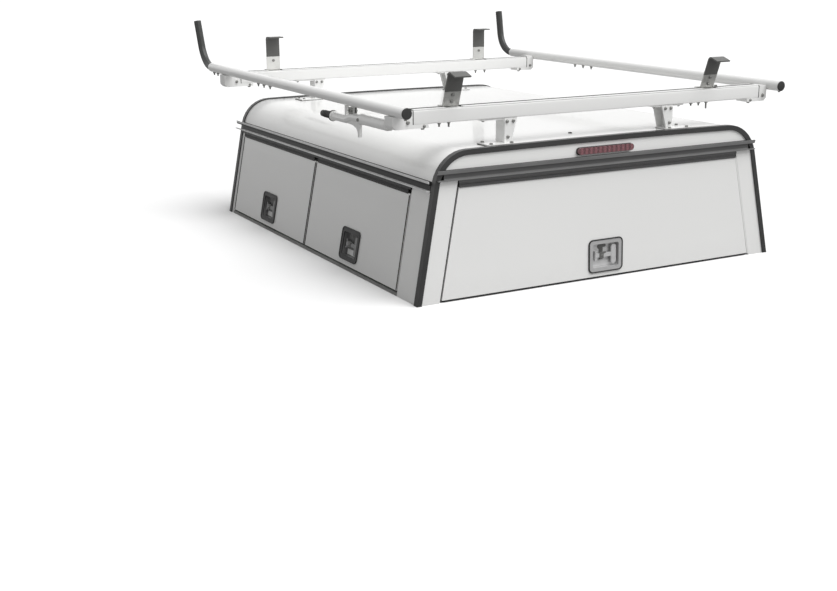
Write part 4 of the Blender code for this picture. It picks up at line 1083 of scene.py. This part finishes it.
# The outline of the painted shadow round the key cylinder, on the dish's floor.
SHADOW_FIGURE = [
    (-0.0210, 0.0240), (-0.0240, 0.0280), (-0.0240, 0.0350), (-0.0200, 0.0390), (0.0110, 0.0390),
    (0.0150, 0.0350), (0.0150, 0.0300), (0.0110, 0.0270), (0.0010, 0.0270), (0.0010, -0.0190),
    (-0.0170, -0.0190), (-0.0170, 0.0210),
]


def lock_floor(door, matrix):
    plate = slab(rounded(*LOCK_PLATE, 0.002, 3), DISH_FLOOR, PLATE_TOP, matrix)
    # On the side locks the plate takes the white paint, lighter than steel: painted light in the
    # dish's shade.
    pale = LOCK_STEEL if door == "rear_door" else PAINT
    piece(f"{door}_lock_plate", *plate, pale, door, "lock_steel", bevel=0.0004)
    shadow_sheet = slab(SHADOW_FIGURE, DISH_FLOOR, SHADOW_TOP, matrix)
    piece(f"{door}_lock_shadow_sheet", *shadow_sheet, DARK_PLASTIC_AND_SHADOW, door, "black_plastic", bevel=0.0004)


# %% [markdown]
# The key cylinder sits in a dark cover on the handle's stem, so both move with the handle. The
# cover's dark plastic is partly painted shadow, joining the painted shadow on the dish's floor.

# %% Key cylinders
COVER = [
    (-0.0235, 0.0115), (-0.0215, 0.0130), (0.0030, 0.0130), (0.0050, 0.0115), (0.0050, 0.0070),
    (-0.0050, 0.0050), (-0.0050, -0.0115), (-0.0070, -0.0130), (-0.0215, -0.0130),
    (-0.0235, -0.0115),
]
CYLINDER = [(0.0036, -0.0030), (0.0036, -0.0016), (0.0031, -0.0011), (0.0014, -0.0011)]
COVER_LOW, COVER_HIGH = -0.0047, -0.0024
CYLINDER_X = -0.0142
KEY_SLOT = ((-0.0005, -0.002), (0.0005, 0.002))


def lock_key(door, matrix):
    handle = f"{door}_handle"
    housing = slab(COVER, COVER_LOW, COVER_HIGH, matrix)
    barrel = matrix @ Matrix.Translation((CYLINDER_X, 0, 0))
    slot_cut = slab(rectangle(*KEY_SLOT), -0.0013, -0.0009, barrel)
    piece(f"{door}_key_cover", *housing, DARK_PLASTIC_AND_SHADOW, handle, "black_plastic", bevel=0.0008)
    piece(f"{door}_key_cylinder", *turned(CYLINDER, barrel), BOLT_STEEL, handle, "lock_steel")
    piece(f"{door}_key_slot", *slot_cut, RUBBER, handle, "black_plastic")


for door, matrix in LOCKS.items():
    lock_gasket(door, matrix)
    lock_floor(door, matrix)
    lock_key(door, matrix)

# %% [markdown]
# The brake light's lens sits in a slim black foot with rounded ends. It is a band whose two
# outlines are the lens's own, a little larger and a little smaller.

# %% Brake light surround
LENS_MIDDLE, LENS_HALF, LENS_HEIGHT = -0.008, 0.125, 0.024
LENS_LOW = REAR_LEDGE + 0.0118


def lens_outline(out, radius):
    low = (LENS_MIDDLE - LENS_HALF - out, LENS_LOW - out)
    high = (LENS_MIDDLE + LENS_HALF + out, LENS_LOW + LENS_HEIGHT + out)
    return rounded(low, high, radius, 8)


surround = band(lens_outline(0.002, 0.0125), lens_outline(-0.001, 0.0100), -0.0008, 0.0040, REAR_FACE)
piece("brake_light_surround", *surround, GRIP, "shell", "black_plastic", bevel=0.001)

# %% [markdown]
# The latch under the left tube ends in a black grip with ribs, behind a painted collar and a
# black washer. All of them are turned about the grip's own axis, which is read from its box.

# %% The latch's grip and collar
grip_low, grip_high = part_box("rack_grip")
axis_x, axis_z = (grip_low.x + grip_high.x) / 2, (grip_low.z + grip_high.z) / 2
RIB = [(0.0118, -0.004), (0.0136, -0.0025), (0.0140, 0.0), (0.0136, 0.0025), (0.0118, 0.004)]
RIB_START, RIB_STEP, RIBS_ON_GRIP = 0.014, 0.0125, 6
GRIP_CAP = [(0.0125, -0.001), (0.0105, 0.001), (0.004, 0.0018)]
COLLAR = [(0.0148, -0.0045), (0.0185, -0.0035), (0.0192, 0.0), (0.0185, 0.0035), (0.0128, 0.0045)]
WASHER = [(0.0130, -0.0030), (0.0205, -0.0022), (0.0210, 0.0), (0.0205, 0.0022), (0.0130, 0.0030)]


def on_latch(profile, y, sides, height=axis_z):
    return turned(profile, aimed((axis_x, y, height), FORWARD), sides)


ribs = [
    on_latch(RIB, grip_low.y + RIB_START + i * RIB_STEP, 24) for i in range(RIBS_ON_GRIP)
]
ribs.append(on_latch(GRIP_CAP, grip_high.y, 24))
collar = on_latch(COLLAR, grip_low.y - 0.001, 32)
washer = on_latch(WASHER, grip_low.y + 0.0065, 32)
piece("grip_ribs", *gather(ribs), GRIP, "shell", "black_plastic")
piece("grip_collar", *collar, RACK_PAINT, "shell", "white_paint")
piece("grip_washer", *washer, GRIP, "shell", "black_plastic")

# %% [markdown]
# A thick sleeve covers the latch's shaft, and a cast web carries its lever. The sleeve is
# turned like the grip, and the web is a flat outline that narrows into the lever.

# %% The latch's sleeve and web
SHAFT_Z = 0.612
SLEEVE_Y = REAR_Y + 0.247
SLEEVE = [
    (0.0168, -0.104), (0.0182, -0.103), (0.0188, -0.098), (0.0186, 0.080), (0.0200, 0.086),
    (0.0200, 0.101), (0.0190, 0.104), (0.0168, 0.105),
]
WEB_HALF = 0.0052
WEB = [
    (0.3742, 0.5500), (0.3790, 0.5640), (0.3900, 0.5755), (0.4200, 0.5830), (0.4800, 0.5860),
    (0.5300, 0.5880), (0.5300, 0.5960), (0.4600, 0.6000), (0.3742, 0.6120),
]
latch_side = face_matrix((axis_x, REAR_Y, 0), FORWARD, UP)
sleeve = on_latch(SLEEVE, SLEEVE_Y, 40, SHAFT_Z)
piece("latch_sleeve", *sleeve, RACK_PAINT, "shell", "white_paint")
web = slab(WEB, -WEB_HALF, WEB_HALF, latch_side)
piece("latch_web", *web, RACK_PAINT, "shell", "white_paint", bevel=0.0012)

# %% [markdown]
# Two small cheek plates hold the latch to the tube, with two bolts each, and a third bolt on
# each side goes through the shaft. The plates are one outline, set out to either side.

# %% The latch's cheeks and bolts
CHEEK = [
    (0.408, 0.6250), (0.412, 0.6210), (0.438, 0.6210), (0.442, 0.6250), (0.442, 0.6440),
    (0.438, 0.6470), (0.412, 0.6470), (0.408, 0.6440),
]
CHEEK_IN, CHEEK_OUT, CHEEK_BOLT_Z = 0.0066, 0.0096, 0.6350
SHAFT_BOLT_OUT, SHAFT_BOLT_Y = 0.0200, REAR_Y + 0.341
cheeks, latch_bolts = [], []
for side in (-1, 1):
    sideways = (side, 0, 0)
    cheeks.append(slab(CHEEK, *sorted((side * CHEEK_IN, side * CHEEK_OUT)), latch_side))
    for y in (0.416, 0.434):
        place = (axis_x + side * 0.0098, REAR_Y + y, CHEEK_BOLT_Z)
        latch_bolts.append(bolt(place, sideways, 0.0046))
    place = (axis_x + side * SHAFT_BOLT_OUT, SHAFT_BOLT_Y, SHAFT_Z)
    latch_bolts.append(bolt(place, sideways, 0.0056))
piece("latch_cheeks", *gather(cheeks), BOLT_STEEL, "shell", "lock_steel", bevel=0.0006)
piece("latch_bolts", *gather(latch_bolts), BOLT_STEEL, "shell", "lock_steel")

# %% [markdown]
# The studio is a wide pale floor and soft light. The floor is white to the camera, and
# through glass, but it throws back less light than it shows, so that it doesn't brighten the
# doors from below. Its shader takes that switch from the kind of ray.

# %% Floor
def floor_material():
    made, tree = new_material("studio_floor")
    path = node(tree, "ShaderNodeLightPath", {}, {}, "Is Camera Ray")
    seen = path + Socket(tree, path.output.node.outputs["Is Transmission Ray"])
    color = mixed(tree, seen.clamped(), (0.32, 0.32, 0.32), (0.93, 0.93, 0.93))
    return close(made, {"Base Color": color, "Roughness": 0.9, "Specular IOR Level": 0.0})


FLOOR_HALF, FLOOR_Z = 60.0, -0.0005
corners = [(u, v, FLOOR_Z) for u, v in rectangle((-FLOOR_HALF, -FLOOR_HALF), (FLOOR_HALF, FLOOR_HALF))]
ground_mesh = bpy.data.meshes.new("studio_floor")
ground_mesh.from_pydata(corners, [], [(0, 1, 2, 3)])
ground_mesh.materials.append(floor_material())
ground = bpy.data.objects.new("studio_floor", ground_mesh)
bpy.context.scene.collection.objects.link(ground)

# %% [markdown]
# The sky is a plain dim white for the object, and full white where the camera sees past the
# floor; gloss and glass see that white too. One broad sun above the right rear corner gives
# the photograph's bright roof, its light rear and its darker left side.

# %% Sky and lamps
SKY = 0.41


def sky():
    world = bpy.data.worlds.new("studio_sky")
    bpy.context.scene.world = world
    world.use_nodes = True
    tree = world.node_tree
    tree.nodes.clear()
    path = node(tree, "ShaderNodeLightPath", {}, {}, "Is Camera Ray")
    outputs = path.output.node.outputs
    seen = path + Socket(tree, outputs["Is Glossy Ray"])
    seen = (seen + Socket(tree, outputs["Is Transmission Ray"])).clamped()
    strength = seen * (1.0 - SKY) + SKY
    light = node(tree, "ShaderNodeBackground", {}, {"Color": (1.0, 1.0, 1.0), "Strength": strength})
    end = tree.nodes.new("ShaderNodeOutputWorld")
    tree.links.new(light.output, end.inputs["Surface"])
    print("sky of strength", SKY)


def sun(name, direction, strength, softness):
    data = bpy.data.lights.new(name, "SUN")
    data.energy = strength
    data.angle = math.radians(softness)
    made = bpy.data.objects.new(name, data)
    made.rotation_mode = "QUATERNION"
    made.rotation_quaternion = Vector(direction).to_track_quat("Z", "Y")
    bpy.context.scene.collection.objects.link(made)
    print(name, "of strength", strength)


sky()
sun("studio_key", (0.30, -0.42, 0.86), 2.7, 50)
sun("studio_fill", (0.10, -0.95, 0.20), 0.50, 60)

# %% [markdown]
# The camera stands behind the left rear corner and looks down a little, as in the
# photograph. Its place, its turn, its tilt and its field of view were found from the canopy's
# straight edges.

# %% Camera
YAW, PITCH, ROLL = math.radians(28.244), math.radians(15.764), math.radians(-0.445)
EYE = (-2.66695, -3.47757 + REAR_Y, 1.155)
FOCAL_PIXELS, IMAGE_WIDTH, SENSOR = 1188.09, 837, 36.0
data = bpy.data.cameras.new("camera")
data.sensor_width = SENSOR
data.lens = FOCAL_PIXELS / IMAGE_WIDTH * SENSOR
camera = bpy.data.objects.new("camera", data)
bpy.context.scene.collection.objects.link(camera)
forward = Vector((math.sin(YAW) * math.cos(PITCH), math.cos(YAW) * math.cos(PITCH), -math.sin(PITCH)))
right = Vector((math.cos(YAW), -math.sin(YAW), 0))
up = right.cross(forward)
turned_right = math.cos(ROLL) * right + math.sin(ROLL) * up
turned_up = -math.sin(ROLL) * right + math.cos(ROLL) * up
rotation = Matrix((turned_right, turned_up, -forward)).transposed()
camera.matrix_world = Matrix.Translation(EYE) @ rotation.to_4x4()
bpy.context.scene.camera = camera
bpy.context.scene.view_settings.view_transform = "Standard"
print("lens of", round(data.lens, 2), "mm at", EYE)
